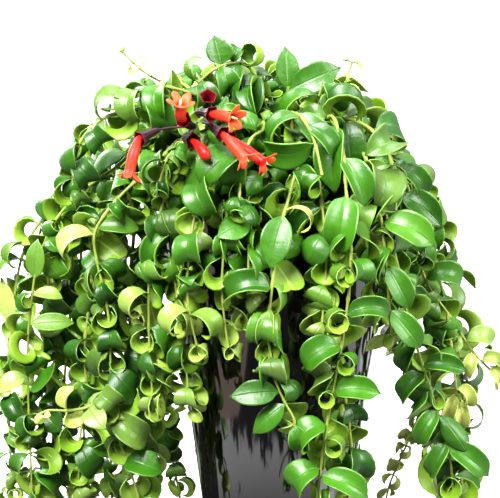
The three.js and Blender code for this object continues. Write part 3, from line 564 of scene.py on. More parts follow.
def length_of(tree, vector):
    """How long a vector is."""
    node = tree.nodes.new("ShaderNodeVectorMath")
    node.operation = "LENGTH"
    tree.links.new(vector, node.inputs[0])
    return Signal(tree, node.outputs["Value"])


def light_path(tree):
    """1 for the rays that the camera sends out and for those that a gloss mirrors, else 0."""
    rays = tree.nodes.new("ShaderNodeLightPath")
    return Signal(tree, rays.outputs["Is Camera Ray"]), Signal(tree, rays.outputs["Is Glossy Ray"])


def new_group(name, vector, numbers, results):
    """A node group that takes one vector and some numbers and puts out the named results."""
    group = bpy.data.node_groups.new(name, "ShaderNodeTree")
    group.interface.new_socket(name=vector, in_out="INPUT", socket_type="NodeSocketVector")
    for socket, value in numbers.items():
        made = group.interface.new_socket(name=socket, in_out="INPUT", socket_type="NodeSocketFloat")
        made.default_value = value
    for socket in results:
        group.interface.new_socket(name=socket, in_out="OUTPUT", socket_type="NodeSocketFloat")
    given = {socket.name: Signal(group, socket) for socket in group.nodes.new("NodeGroupInput").outputs}
    return group, given, group.nodes.new("NodeGroupOutput")


SIDE_VEINS = 9.0


def mottle_group():
    """Soft blotches and fine grain: a mask from 0 to 1 and a height for a Bump node."""
    group, given, end = new_group("Mottle", "Vector", {"Scale": 90.0, "Contrast": 1.4, "Fine Scale": 900.0},
                                  ("Mask", "Height"))
    coarse = noise_texture(group, Vector=given["Vector"], Scale=given["Scale"], Detail=3.0)
    fine = noise_texture(group, Vector=given["Vector"], Scale=given["Fine Scale"], Detail=2.0)
    mask = (coarse - 0.5) * given["Contrast"] + 0.5
    feed(group, end, Mask=mask.clamped(), Height=fine)
    return group


def vein_group():
    """A leaf's midrib, faint side veins, edge and crossways crinkles, by its map: U runs across, V along."""
    rib_sharpness, vein_slant, vein_sharpness = 26.0, 0.7, 7.0
    edge_start, edge_sharpness = 0.40, 10.0
    crinkles_across, crinkles_along, draws = 1.8, 6.0, 60.0
    group, given, end = new_group("Leaf Veins", "UV", {"Side Veins": SIDE_VEINS, "Draw": 0.0},
                                  ("Midrib", "Veins", "Edge", "Crinkle"))
    across, along, _ = parts_of(group, given["UV"].socket)
    off = math_node(group, "ABSOLUTE", across - 0.5)
    tooth = math_node(group, "PINGPONG", (along - off * vein_slant) * given["Side Veins"], 0.5)
    stretched = joined(group, X=across * crinkles_across, Y=along * crinkles_along, Z=given["Draw"] * draws)
    feed(group, end,
         Midrib=(1.0 - off * rib_sharpness).clamped(),
         Veins=(1.0 - tooth * vein_sharpness).clamped(),
         Edge=((off - edge_start) * edge_sharpness).clamped(),
         Crinkle=noise_texture(group, Vector=stretched, Scale=1.0, Detail=2.0))
    return group


# ---- materials ----
class Skin:
    """A material in the making: its node tree, its Principled shader and its coordinates."""

    def __init__(self, name):
        material = bpy.data.materials.new(name)
        material.use_nodes = True
        self.tree = material.node_tree
        self.shader = self.tree.nodes["Principled BSDF"]
        self.coordinates = self.tree.nodes.new("ShaderNodeTexCoord").outputs

    def shade(self, **inputs):
        """Plugs values into the shader."""
        feed(self.tree, self.shader, **inputs)

    def group(self, group, **inputs):
        """Places a node group and returns its outputs by name."""
        node = self.tree.nodes.new("ShaderNodeGroup")
        node.node_tree = group
        feed(self.tree, node, **inputs)
        return {socket.name: Signal(self.tree, socket) for socket in node.outputs}

    def mottle(self, groups, scale, contrast, fine_scale):
        """The mottle's mask and its fine height."""
        made = self.group(groups["mottle"], Vector=self.coordinates["Object"], Scale=scale,
                          Contrast=contrast, Fine_Scale=fine_scale)
        return made["Mask"], made["Height"]

    def attribute(self, name):
        """A number that the mesh carries at each vertex."""
        node = self.tree.nodes.new("ShaderNodeAttribute")
        node.attribute_name = name
        return Signal(self.tree, node.outputs["Fac"])

    def mix(self, share, first, second):
        """The first colour where the share is 0, and the second where it is 1."""
        node = self.tree.nodes.new("ShaderNodeMix")
        node.data_type = "RGBA"
        for socket, value in zip([s for s in node.inputs if s.enabled], (share, first, second)):
            plug(self.tree, value, socket)
        return next(s for s in node.outputs if s.enabled)

    def bump(self, height, strength, distance):
        """Gives the shader the relief of a height, with its depth in metres."""
        node = self.tree.nodes.new("ShaderNodeBump")
        feed(self.tree, node, Height=height, Strength=strength, Distance=distance)
        self.shade(Normal=node.outputs[0])


def leaf_upper_material(groups, leaf):
    """The waxy upper side, greener or darker by its tone and paler by its youth."""
    patch_share, crinkle_share, tone_share, darkening = 0.25, 0.5, 0.85, 0.2
    rib_share, edge_share = 0.10, 0.12
    grain_height, rib_depth, vein_depth, crinkle_height = 0.35, 0.9, 0.05, 2.0
    skin = Skin("leaf_upper_waxy")
    mask, grain = skin.mottle(groups, scale=70.0, contrast=1.6, fine_scale=700.0)
    tone = skin.attribute("tone")
    veins = skin.group(groups["veins"], UV=skin.coordinates["UV"], Side_Veins=SIDE_VEINS, Draw=tone)
    patchy = mask * patch_share + veins["Crinkle"] * crinkle_share
    blotched = patchy - darkening + tone * tone_share
    green = skin.mix(blotched.clamped(), leaf.upper_dark, leaf.upper)
    aged = skin.mix(skin.attribute("youth"), green, leaf.young)
    ribbed = skin.mix(veins["Midrib"] * rib_share, aged, leaf.margin)
    edged = skin.mix(veins["Edge"] * edge_share, ribbed, leaf.margin)
    skin.shade(Base_Color=edged, Roughness=mask.mapped(0.34, 0.48), Specular_IOR_Level=0.62)
    relief = grain * grain_height - veins["Midrib"] * rib_depth - veins["Veins"] * vein_depth
    skin.bump(relief + veins["Crinkle"] * crinkle_height, strength=0.55, distance=0.0006)


def leaf_under_material(groups, leaf):
    """The paler underside, darker on dark leaves, with a pale midrib."""
    shaded, tone_least, mottle_share, rib_share = 0.45, 0.35, 0.3, 0.5
    skin = Skin("leaf_underside")
    mask, grain = skin.mottle(groups, scale=110.0, contrast=1.2, fine_scale=1100.0)
    midrib = skin.group(groups["veins"], UV=skin.coordinates["UV"], Side_Veins=SIDE_VEINS)["Midrib"]
    darker = [shaded * part for part in leaf.under]
    base = skin.mix(skin.attribute("tone").mapped(tone_least, 1.0), darker, leaf.under)
    base = skin.mix(mask * mottle_share, base, leaf.margin)
    base = skin.mix(skin.attribute("youth"), base, leaf.young)
    base = skin.mix(midrib * rib_share, base, leaf.young)
    skin.shade(Base_Color=base, Roughness=mask.mapped(0.38, 0.52))
    skin.bump(grain + midrib, strength=0.35, distance=0.0005)


def leaf_margin_material(groups, leaf):
    """The thick pale edge of a leaf."""
    under_share = 0.5
    skin = Skin("leaf_margin")
    mask, grain = skin.mottle(groups, scale=160.0, contrast=1.5, fine_scale=1200.0)
    base = skin.mix(mask * under_share, leaf.margin, leaf.under)
    base = skin.mix(skin.attribute("youth"), base, leaf.young)
    skin.shade(Base_Color=base, Roughness=mask.mapped(0.3, 0.45))
    skin.bump(grain, strength=0.2, distance=0.0004)


def stem_material(groups, stem):
    """A green stem, browned in patches."""
    aged_share = 0.55
    skin = Skin("stem_green_bark")
    mask, grain = skin.mottle(groups, scale=30.0, contrast=3.0, fine_scale=1500.0)
    skin.shade(Base_Color=skin.mix(mask * aged_share, stem.color, stem.aged),
               Roughness=mask.mapped(0.42, 0.62))
    skin.bump(grain, strength=0.6, distance=0.0005)


def glaze_material(groups, planter):
    """The planter's black glaze, a little warmer in broad patches."""
    warmth = (2.0, 1.4, 1.6)
    skin = Skin("planter_black_glaze")
    mask, grain = skin.mottle(groups, scale=9.0, contrast=1.3, fine_scale=60.0)
    warm = [part * more for part, more in zip(planter.glaze, warmth)]
    skin.shade(Base_Color=skin.mix(mask, planter.glaze, warm), Roughness=mask.mapped(0.05, 0.10), IOR=2.2)
    skin.bump(grain, strength=0.02, distance=0.0002)


def mix_material(groups, planter):
    """Damp bark with lighter chips."""
    chip_light = 3.2
    skin = Skin("potting_mix_bark")
    mask, grain = skin.mottle(groups, scale=180.0, contrast=2.6, fine_scale=1600.0)
    light = [min(1.0, chip_light * part) for part in planter.mix]
    skin.shade(Base_Color=skin.mix(mask, planter.mix, light), Roughness=mask.mapped(0.75, 0.95))
    skin.bump(grain, strength=0.9, distance=0.002)


def petal_material(groups, name, low, high, roughness):
    """A petal skin whose colour runs from low to high by a share that each vertex carries; for the calyx, low
    is a painted lavender highlight.
    """
    mottle_share = 0.4
    skin = Skin(name)
    mask, grain = skin.mottle(groups, scale=260.0, contrast=1.2, fine_scale=2500.0)
    colour_share = (skin.attribute("colour_share") + (mask - 0.5) * mottle_share).clamped()
    skin.shade(Base_Color=skin.mix(colour_share, low, high), Roughness=mask.mapped(*roughness),
               Specular_IOR_Level=0.3)
    skin.bump(grain, strength=0.35, distance=0.0004)


# A painted reflection for the glaze, which the floor gives off to glossy rays only, in metres from the
# planter's middle and as
# shares of full light: a grey table in front, brown boards beyond it on the left, and a pale floor on the
# right and behind.
TABLE_START, TABLE_LIGHT = 0.05, 0.32
TABLE_RISE, TABLE_GAIN = (0.19, 0.36), (1.0, 3.0)
BOARDS_START, BOARDS_AHEAD, BOARDS_LIGHT, BOARDS_HUE = 0.75, (0.10, 0.95), 0.75, (0.80, 0.60, 0.52)
RIGHT_SPAN, RIGHT_AHEAD, RIGHT_LIGHT = (-1.6, -0.15), (-0.9, 0.15), 0.9
BEHIND_AHEAD, BEHIND_LIGHT = (-50.0, -0.3), 0.6
WHITE, MIRRORED_BASE = (1.0, 1.0, 1.0), (0.02, 0.02, 0.02)

# Painted dark streaks in the painted table, a painted reflection of the shoots. They start at STREAK_START,
# are ragged by the turn round the planter in radians and by the distance from it, and reach in less on the
# left.
STREAK_START, STREAKS, STREAK_BREAKS, STREAK_REACH = 0.30, 4.6, 8.0, 0.32
STREAK_LEFT, STREAK_LEFT_REACH, STREAK_EDGE = (-1.0, -0.6), 0.3, (0.60, 0.66)


def painted_leaf_streaks(tree, distance, turn, painted_table_edge):
    """1 on the painted table, 0 in its painted dark streaks, ragged, that reach in from its edge."""
    place = joined(tree, X=turn * STREAKS, Y=distance * STREAK_BREAKS)
    ragged = noise_texture(tree, Vector=place, Scale=1.0, Detail=4.0, Roughness=0.7)
    reach = turn.mapped(STREAK_LEFT_REACH, 1.0, source=STREAK_LEFT) * STREAK_REACH
    level = ragged + distance.mapped(0.0, 1.0, source=(STREAK_START, painted_table_edge)) * reach
    return level.mapped(1.0, 0.0, source=STREAK_EDGE)


def backdrop_and_reflection_material(stage):
    """White to the camera and dimmer to other rays; to glossy rays it glows with a painted reflection: a grey
    table with painted dark streaks, boards and a pale floor.
    """
    near_glow, glow_span, dimming = 0.35, (0.4, 2.6), 0.25
    skin = Skin("studio_backdrop")
    camera, glossy = light_path(skin.tree)
    distance = length_of(skin.tree, skin.coordinates["Object"])
    x, y, _ = parts_of(skin.tree, skin.coordinates["Object"])
    ahead, left = y * -1.0, x * -1.0
    turn = math_node(skin.tree, "ARCTAN2", x, ahead)
    lit = distance.mapped(*TABLE_GAIN, source=TABLE_RISE, smooth=True)
    lit = lit * distance.between(TABLE_START, stage.painted_table_edge)
    lit = lit * painted_leaf_streaks(skin.tree, distance, turn, stage.painted_table_edge)
    # The painted reflection: a grey table with painted dark streaks, brown boards and a pale floor, for
    # glossy rays only.
    table = ahead.above(0.0) * lit * TABLE_LIGHT
    boards = left.between(BOARDS_START * stage.painted_table_edge, stage.painted_boards_edge)
    boards = boards * distance.above(stage.painted_table_edge) * ahead.between(*BOARDS_AHEAD)
    rightward = left.between(*RIGHT_SPAN) * ahead.between(*RIGHT_AHEAD)
    behind = ahead.between(*BEHIND_AHEAD) * BEHIND_LIGHT + rightward * RIGHT_LIGHT
    mirrored = table + (boards * BOARDS_LIGHT + behind)
    seen = distance.mapped(near_glow, stage.glow, source=glow_span)
    dim = skin.mix(camera, [dimming * part for part in stage.backdrop], stage.backdrop)
    skin.shade(
        Base_Color=skin.mix(glossy, dim, MIRRORED_BASE),
        Roughness=0.9,
        Specular_IOR_Level=0.0,
        Emission_Strength=seen * camera + mirrored * glossy,
        Emission_Color=skin.mix(boards * glossy, WHITE, BOARDS_HUE))


def build_materials(scene):
    """Builds both node groups and every material."""
    groups = {"mottle": mottle_group(), "veins": vein_group()}
    for build in (leaf_upper_material, leaf_under_material, leaf_margin_material):
        build(groups, scene.plant_leaf)
    stem_material(groups, scene.plant_stem)
    glaze_material(groups, scene.plant_planter)
    mix_material(groups, scene.plant_planter)
    flower = scene.plant_flower
    # The calyx's paler lavender is a painted highlight on its dark purple.
    painted_lavender_highlight = [min(1.0, part * 3.0 + 0.012) for part in flower.calyx]
    dark_maroon = [0.5 * part for part in flower.calyx_inside]
    petal_material(groups, "corolla_red", flower.corolla, flower.throat, (0.32, 0.45))
    petal_material(groups, "corolla_throat", flower.throat, (0.82, 0.22, 0.06), (0.38, 0.5))
    petal_material(groups, "calyx_purple", painted_lavender_highlight, flower.calyx, (0.35, 0.5))
    petal_material(groups, "calyx_maroon", flower.calyx_inside, dark_maroon, (0.4, 0.55))
    petal_material(groups, "stamen", (0.60, 0.10, 0.06), (0.85, 0.72, 0.42), (0.5, 0.65))
    backdrop_and_reflection_material(scene.plant_stage)


# ---- meshes ----
def object_from(bm, name, material_names, smooth=True):
    """Makes a bmesh into an object with these materials, and frees the bmesh."""
    mesh = bpy.data.meshes.new(name)
    bm.to_mesh(mesh)
    bm.free()
    for material in material_names:
        mesh.materials.append(bpy.data.materials[material])
    if smooth:
        mesh.shade_smooth()
    obj = bpy.data.objects.new(name, mesh)
    bpy.context.scene.collection.objects.link(obj)
    return obj


def mesh_of(obj):
    """A new mesh with the object's shape as its modifiers or bevel leave it."""
    bpy.context.scene.collection.objects.link(obj)
    bpy.context.view_layer.update()
    mesh = bpy.data.meshes.new_from_object(obj.evaluated_get(bpy.context.evaluated_depsgraph_get()))
    bpy.data.objects.remove(obj)
    return mesh


def spin_profile(bm, profile, steps):
    """Turns a list of (radius, height) points in millimetres round Z and merges its poles."""
    verts = [bm.verts.new((radius * MM, 0.0, height * MM)) for radius, height in profile]
    edges = [bm.edges.new(pair) for pair in zip(verts, verts[1:])]
    bmesh.ops.spin(bm, geom=verts + edges, cent=(0, 0, 0), axis=(0, 0, 1), angle=math.tau,
                   steps=steps, use_merge=True)
    bmesh.ops.remove_doubles(bm, verts=bm.verts, dist=1e-6)
    bmesh.ops.recalc_face_normals(bm, faces=bm.faces)


def planter_radius(z):
    """Outer radius of the planter at a height."""
    return PLANTER_FOOT + (PLANTER_RIM - PLANTER_FOOT) * z / PLANTER_HEIGHT


def paint_faces(bm, first, slot):
    """Gives the faces from the first on the material in this slot."""
    bm.faces.ensure_lookup_table()
    for face in bm.faces[first:]:
        face.material_index = slot


def finish_piece(obj, slot, *nodes):
    """Hangs the piece on the root body and hides the nodes that it takes the place of; the slot is not used.
    """
    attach(obj, "root")
    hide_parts(*nodes)
    return obj


# ---- planter and potting mix ----
PLANTER_STEPS, PLANTER_FLOOR, FOOT_EDGE, ARC_POINTS = 128, 8, 2, 5
# The foot's recess: its height, and the shares of the foot's radius where it ends and where the foot stands.
RECESS, RECESS_RIM, FOOT_RING = 1.2, 0.86, 0.9
LIP_INSET, BELOW_LIP, INNER_FILLET = 0.3, 8, 3
OUTER_START, OUTER_ROWS, INNER_END, INNER_ROWS = 12, 14, 12, 6
MIX_STEPS, MIX_RINGS, MIX_GAP, MIX_BOTTOM = 96, 26, 0.4, 9
# The mix's coarse and fine lumps, each as a noise scale and a height, and how far they lie under its level.
LUMPS, LUMP_SINK = ((90, 2.4), (320, 1.4)), 1.0
CHIPS, CHIP_SEED, CHIP_REACH, CHIP_LIFT = 150, 5, 0.95, 0.2
CHIP_SIZES, CHIP_WIDTHS, CHIP_THICKNESS = (1.6, 4.2), (0.4, 0.7), 0.35


def arc(centre, radius, start, end):
    """Points of a quarter turn, from one angle in degrees to another."""
    angles = np.linspace(math.radians(start), math.radians(end), ARC_POINTS)
    return [(centre[0] + radius * math.cos(a), centre[1] + radius * math.sin(a)) for a in angles]


def build_planter(settings):
    """A hollow turned shell with a recess under its foot, a rounded foot edge and a rounded rim."""
    lip = settings.lip / MM
    lip_height, lip_start = PLANTER_HEIGHT - lip, PLANTER_HEIGHT - BELOW_LIP
    profile = [(0, RECESS), (PLANTER_FOOT * RECESS_RIM, RECESS), (PLANTER_FOOT * FOOT_RING, 0.0)]
    profile += arc((planter_radius(FOOT_EDGE) - FOOT_EDGE, FOOT_EDGE), FOOT_EDGE, -90, 0)
    profile += [(planter_radius(z), z) for z in np.linspace(OUTER_START, lip_start, OUTER_ROWS)]
    profile += arc((PLANTER_RIM - LIP_INSET - lip, lip_height), lip, 0, 90)
    profile += arc((PLANTER_RIM - PLANTER_WALL - LIP_INSET + lip, lip_height), lip, 90, 180)
    profile += [(planter_radius(z) - PLANTER_WALL, z) for z in np.linspace(lip_start, INNER_END, INNER_ROWS)]
    profile += [(planter_radius(PLANTER_FLOOR) - PLANTER_WALL - INNER_FILLET, PLANTER_FLOOR)]
    profile += [(0, PLANTER_FLOOR)]
    bm = bmesh.new()
    spin_profile(bm, profile, PLANTER_STEPS)
    obj = object_from(bm, "glazed_planter", ["planter_black_glaze"])
    return finish_piece(obj, "planter_glaze", "planter")


def build_mix():
    """The bark mix: a lumpy disc on a plain plug, with loose chips lying on it."""
    edge = planter_radius(SOIL_TOP) - PLANTER_WALL - MIX_GAP
    bottom = planter_radius(MIX_BOTTOM) - PLANTER_WALL - (INNER_FILLET + MIX_GAP)
    rings = [(edge * share, SOIL_TOP) for share in np.linspace(0, 1, MIX_RINGS)]
    bm = bmesh.new()
    spin_profile(bm, [*rings, (bottom, MIX_BOTTOM), (0, MIX_BOTTOM)], MIX_STEPS)
    for vert in bm.verts:
        if vert.co.z > (SOIL_TOP - 1) * MM and math.hypot(vert.co.x, vert.co.y) < (edge - 1) * MM:
            lump = sum(noise.noise(vert.co * scale) * height for scale, height in LUMPS)
            vert.co.z += (lump - LUMP_SINK) * MM
    draw = random.Random(CHIP_SEED)
    for _ in range(CHIPS):
        angle, reach = draw.uniform(0, math.tau), edge * CHIP_REACH * math.sqrt(draw.random())
        size = draw.uniform(*CHIP_SIZES)
        turn = Matrix.Rotation(draw.uniform(0, math.tau), 4, (draw.random(), draw.random(), 1))
        place = Matrix.Translation((reach * math.cos(angle) * MM, reach * math.sin(angle) * MM,
                                    (SOIL_TOP + CHIP_LIFT) * MM))
        shape = Matrix.Diagonal((size * MM, size * draw.uniform(*CHIP_WIDTHS) * MM,
                                 size * CHIP_THICKNESS * MM, 1))
        bmesh.ops.create_icosphere(bm, subdivisions=1, radius=1.0, matrix=place @ turn @ shape)
    obj = object_from(bm, "bark_potting_mix", ["potting_mix_bark"], smooth=False)
    return finish_piece(obj, "potting_mix", "potting_mix")


# ---- one leaf ----
# Shares of a leaf's length where its cross-section is set, and places across it from edge to edge.
LEAF_ROWS = np.array([
    0.0, 0.045, 0.09, 0.15, 0.22, 0.30, 0.38, 0.46, 0.54, 0.62, 0.70, 0.78, 0.86, 0.93, 1.0])
LEAF_COLUMNS = np.array([-1.0, -0.84, -0.44, 0.0, 0.44, 0.84, 1.0])
MIDRIB_STEPS = 120
# A leaf's length is part stalk and part blade, and part straight and part curled.
STALK, BLADE = 0.07, 0.93
STRAIGHT, CURLED = 0.06, 0.94
STALK_HALF_WIDTH, TIP_HALF_WIDTH = 1.15, 0.28
RIPPLES, RIPPLE_SHIFT = 9.0, 1.5
# How a leaf faces: towards the light above and the outside, a little along its stem and a little upwards.
LIGHT_UP, LIGHT_OUT, LIGHT_SPREAD = 0.75, 0.62, 0.16
ALONG_STEM, UPWARD, LEAST_UP = 0.32, 0.10, 0.2

# How the leaves between the placed ones vary: shares of the usual size, and curls in degrees. A few of them
# open nearly flat, and so do all of those on thin shoots.
LENGTHS, WIDTHS = (0.84, 1.10), (0.88, 1.12)
YOUNG_SHORTER, YOUNG_NARROWER = 0.30, 0.35
CURL_SPREAD, CURL_LEAST, CURL_MOST = 75, 150, 460
OPEN_SHARE, OPEN_CURLS, OPEN_LENGTH = 0.08, (45, 120), 0.82
THIN_SHOOT, THIN_CURLS = 0.5, (20, 160)
CURL_STARTS, FOLD, TWIST, DRIFT, RIPPLE = (0.80, 1.30), (0.35, 0.45), (0, 0.38), (0, 4.5), (0.0, 0.9)
PLACED_LEAF = {"early": 1.1, "drift": 2.5, "ripple": 0.4}


def leaf_half_width(s, width):
    """Half the width at each share s of the length: a stalk, then an egg-shaped blade with a pointed tip."""
    blade = np.clip((s - STALK) / BLADE, 0.0, 1.0)
    outline = (1.0 - np.abs(2.0 * blade ** 0.88 - 1.0) ** 2.3) ** (0.66 + 0.72 * blade)
    stalk = STALK_HALF_WIDTH * (1.0 - 0.6 * np.clip(s / 0.2, 0, 1))
    return np.maximum(width / 2 * outline, np.where(s < 0.5, stalk, TIP_HALF_WIDTH))


def leaf_shape(length, width, curl, early, fold, twist, drift, ripple, phase):
    """Points of one curled leaf: X runs out of the stem, Y across the leaf, and Z is its upper side."""
    fine = np.linspace(0, 1, MIDRIB_STEPS + 1)
    bend = np.where(fine < STRAIGHT, 0.0, (fine - STRAIGHT) / CURLED) ** early
    angle = -curl * bend
    steps = np.diff(fine) * length
    middle = (angle[1:] + angle[:-1]) / 2
    x = np.concatenate([[0], np.cumsum(np.cos(middle) * steps)])
    z = np.concatenate([[0], np.cumsum(np.sin(middle) * steps)])
    s = LEAF_ROWS[:, None]
    t = LEAF_COLUMNS[None, :]
    a = np.interp(s, fine, angle)
    px, pz = np.interp(s, fine, x), np.interp(s, fine, z)
    half = leaf_half_width(s, width)
    cup = fold * np.sin(np.pi * np.clip(s * 1.05, 0, 1)) ** 0.5
    lean = twist * s
    across = t * half * np.cos(np.abs(cup) * np.abs(t) ** 0.6)
    lift = half * np.abs(t) ** 1.25 * np.sin(cup)
    waves = np.sin(phase + RIPPLES * s + RIPPLE_SHIFT * np.sign(t))
    lift = lift + ripple * t ** 2 * waves * np.sin(np.pi * s)
    y = across * np.cos(lean) - lift * np.sin(lean) + drift * s ** 2
    up = across * np.sin(lean) + lift * np.cos(lean)
    return np.stack([px - np.sin(a) * up, y, pz + np.cos(a) * up], axis=-1)


def stand_leaf(shape, point, ahead, across, up):
    """Moves a leaf's shape to its place on the stem."""
    return point + shape[..., 0:1] * ahead + shape[..., 1:2] * across + shape[..., 2:3] * up


def leaf_axes(point, tangent, outward, rng):
    """A leaf leaves its stem sideways and turns its upper side to the light."""
    away = np.array([point[0], point[1], 0.0])
    away = unit(away) if np.linalg.norm(away) > 1 else np.array([0.0, -1.0, 0.0])
    light = LIGHT_UP * np.array([0, 0, 1.0]) + LIGHT_OUT * away + rng.normal(0, LIGHT_SPREAD, 3)
    ahead = unit(outward + ALONG_STEM * tangent + np.array([0, 0, UPWARD]))
    up = light - ahead * np.dot(light, ahead)
    if np.linalg.norm(up) < LEAST_UP:
        up = tangent - ahead * np.dot(tangent, ahead)
    up = unit(up)
    return ahead, np.cross(up, ahead), up


def random_leaf(rng, leaf, scale, youth):
    """Draws the size and shape of a leaf."""
    length = leaf.length / MM * scale * rng.uniform(*LENGTHS) * (1 - YOUNG_SHORTER * youth)
    width = leaf.width / MM * scale * rng.uniform(*WIDTHS) * (1 - YOUNG_NARROWER * youth)
    curl = np.clip(rng.normal(leaf.curl, math.radians(CURL_SPREAD)), math.radians(CURL_LEAST),
                   math.radians(CURL_MOST))
    if rng.random() < OPEN_SHARE:
        curl = math.radians(rng.uniform(*OPEN_CURLS))
        length = OPEN_LENGTH * length
    if scale < THIN_SHOOT:
        curl = math.radians(rng.uniform(*THIN_CURLS))
    return dict(length=length, width=width, curl=float(curl), early=rng.uniform(*CURL_STARTS),
                fold=rng.normal(*FOLD), twist=rng.normal(*TWIST), drift=rng.normal(*DRIFT),
                ripple=rng.uniform(*RIPPLE), phase=rng.uniform(0, math.tau))


def leaf_template():
    """A flat grid that every leaf is bent from, and the row and column of each of its vertices."""
    bm = bmesh.new()
    bm.loops.layers.uv.new("leaf_map")
    bm.verts.layers.float.new("tone")
    bm.verts.layers.float.new("youth")
    bmesh.ops.create_grid(bm, x_segments=len(LEAF_COLUMNS) - 1, y_segments=len(LEAF_ROWS) - 1, size=1.0,
                          calc_uvs=True)
    bm.verts.ensure_lookup_table()
    order = [(int(np.argmin(np.abs(np.linspace(-1, 1, len(LEAF_ROWS)) - v.co.y))),
              int(np.argmin(np.abs(np.linspace(1, -1, len(LEAF_COLUMNS)) - v.co.x)))) for v in bm.verts]
    mesh = bpy.data.meshes.new("leaf_template")
    bm.to_mesh(mesh)
    bm.free()
    return mesh, order


def add_leaf(bm, template, points, tone, youth):
    """Adds a leaf whose vertices stand at these points, with its tone and youth for the leaf materials."""
    mesh, order = template
    first = len(bm.verts)
    bm.from_mesh(mesh)
    bm.verts.ensure_lookup_table()
    tone_layer, youth_layer = bm.verts.layers.float["tone"], bm.verts.layers.float["youth"]
    for vert, (row, column) in zip(bm.verts[first:], order):
        vert.co = points[row, column] * MM
        vert[tone_layer] = tone
        vert[youth_layer] = youth


# ---- room for the leaves ----
PLACED = "placed leaf or flower"
PLACED_ROOM, NEIGHBOUR_ROOM = 4.0, 9.0
WALL_ROOM, WALL_WEIGHT, RIM_MARGIN = 2.0, 3.0, 4
FAR_OFF = 30.0
# Other leaves keep out of the view of a placed one, this far towards the front.
VIEW, TOP_VIEW, VIEW_STEP = 42, 104, 8
FRONTWARD = np.array([0.0, -1.0, 0.17])
FLOWER_STEP, FLOWER_REACH = 4.0, 9.0
FLOWER_SIDES = np.array([(1, 0, 0), (-1, 0, 0), (0, 0, 1), (0, 0, -1), (0, -1, 0)], float)
# A leaf is drawn this often, the last times smaller and only if none of the others found room.
DRAWS, FULL_SIZE_DRAWS, SMALLER, TURN_SPREAD = 10, 6, 0.6, 0.22


class Crowd:
    """Remembers where leaves already are, in a coarse grid, so that the next ones keep clear."""
    CELL = 12.0

    def __init__(self):
        self.cells = {}

    def add(self, points, owner):
        """Remembers points as the owner's."""
        for p in points:
            self.cells.setdefault(tuple((p // self.CELL).astype(int)), []).append((p, owner))

    def nearest(self, points, owner, only=None):
        """Distance from the points to the nearest one of another owner, or of the only one named."""
        best = FAR_OFF
        for p in points:
            i, j, k = (p // self.CELL).astype(int)
            for di, dj, dk in itertools.product((-1, 0, 1), repeat=3):
                for q, other in self.cells.get((i + di, j + dj, k + dk), ()):
                    if other != owner and only in (None, other):
                        best = min(best, float(np.linalg.norm(p - q)))
        return best

    def keep_in_view(self, points, room):
        """Keeps other leaves off the points and out of the space in front of them."""
        for ahead in range(0, room, VIEW_STEP):
            self.add(points + FRONTWARD * ahead, PLACED)


def planter_clearance(points):
    """Smallest distance of points below the rim to the planter's wall, counted outwards."""
    low = points[points[:, 2] < PLANTER_HEIGHT + RIM_MARGIN]
    if len(low) == 0:
        return FAR_OFF
    radius = np.hypot(low[:, 0], low[:, 1])
    return float(np.min(np.abs(radius - planter_radius(low[:, 2]) + PLANTER_WALL / 2) - PLANTER_WALL / 2))


def probes_of(points, first, step):
    """A few of a leaf's points, from a row on, that stand for all of it."""
    return points[first::step, ::step].reshape(-1, 3)


def place_leaf(rng, leaf, crowd, shoot, point, tangent, outward, scale, youth):
    """Draws a few leaves for this place and keeps the one with the most room, if any has enough."""
    best, best_room = None, -math.inf
    for draw in range(DRAWS):
        if draw >= FULL_SIZE_DRAWS and best is not None:
            break
        turn = rng.normal(0, TURN_SPREAD)
        aside = np.cross(tangent, outward)
        axes = leaf_axes(point, tangent, outward * math.cos(turn) + aside * math.sin(turn), rng)
        size = scale * (1.0 if draw < FULL_SIZE_DRAWS else SMALLER)
        points = stand_leaf(leaf_shape(**random_leaf(rng, leaf, size, youth)), point, *axes)
        probes = probes_of(points, 4, 3)
        if crowd.nearest(probes, shoot, PLACED) < PLACED_ROOM:
            continue
        room = min(crowd.nearest(probes, shoot), NEIGHBOUR_ROOM)
        room += WALL_WEIGHT * min(planter_clearance(points.reshape(-1, 3)), WALL_ROOM)
        if room > best_room:
            best, best_room = points, room
    if best is not None:
        crowd.add(probes_of(best, 4, 3), shoot)
    return best


# ---- shoots ----
ROOT_DEPTH, ROOT_RISE, PATH_STEP = 6, 14, 3.0
NODE_WIDTH, NODE_SWELL, STEM_TAPER = 2.2, 0.45, 0.42
SHOOT_MATERIALS = ("leaf_upper_waxy", "leaf_underside", "leaf_margin", "stem_green_bark")
STEM_SLOT = 3
# Size and paleness of the last leaf pairs, the pair at the shoot's very tip first.
TIP_SIZES, TIP_PALENESS = (0.60, 0.80, 0.92, 1.0), (1.0, 0.7, 0.3, 0.0)
PALE_YOUTH, CROWN_YOUTH, USUAL_YOUTH, THIN_YOUTH, OLIVE_YOUTH = 0.9, 0.0, 0.3, 0.85, 0.75
CROWN_TONE, PAIR_SPREAD, PLACE_SPREAD = 0.7, 0.12, 1.5
# How far the leaves' distance and thickness go with the shoot's leaf scale.
PITCH_BY_SCALE, FLESH_BY_SCALE = 0.6, 0.4
SEEDS_APART = 1000
TIP_GAP, LAST_GAP = 1.0, 8
# A leaf of a pair is left out where a placed one grows this near along the stem, in much the same direction.
SPOT_NEAR, SPOT_ALIKE = 13, 0.2
# Some leaves look a little younger than their place: those whose tone falls late in one of its seven steps.
FRESH_MOST, FRESH_STEPS, FRESH_FROM, FRESH_SPAN = 0.14, 7.0, 0.6, 0.4


def shoot_limbs(name):
    """The shoot's leaf scale, and each of its limbs as a path and the length that is bare at its start."""
    if name in SHOOTS:
        root, leaf_scale, route = SHOOTS[name]
    else:
        root, leaf_scale, route = ARCHES[name][0], 1, arch_route(*ARCHES[name])
    stem = [(*root, STEM_BASE - ROOT_DEPTH), (*root, STEM_BASE + ROOT_RISE), *route]
    limbs = [(smooth_path(stem, PATH_STEP), BARE_BASE)]
    for start, points in BRANCHES.get(name, ()):
        limbs.append((smooth_path([route[start], *points], PATH_STEP), BARE_FORK))
    return leaf_scale, limbs


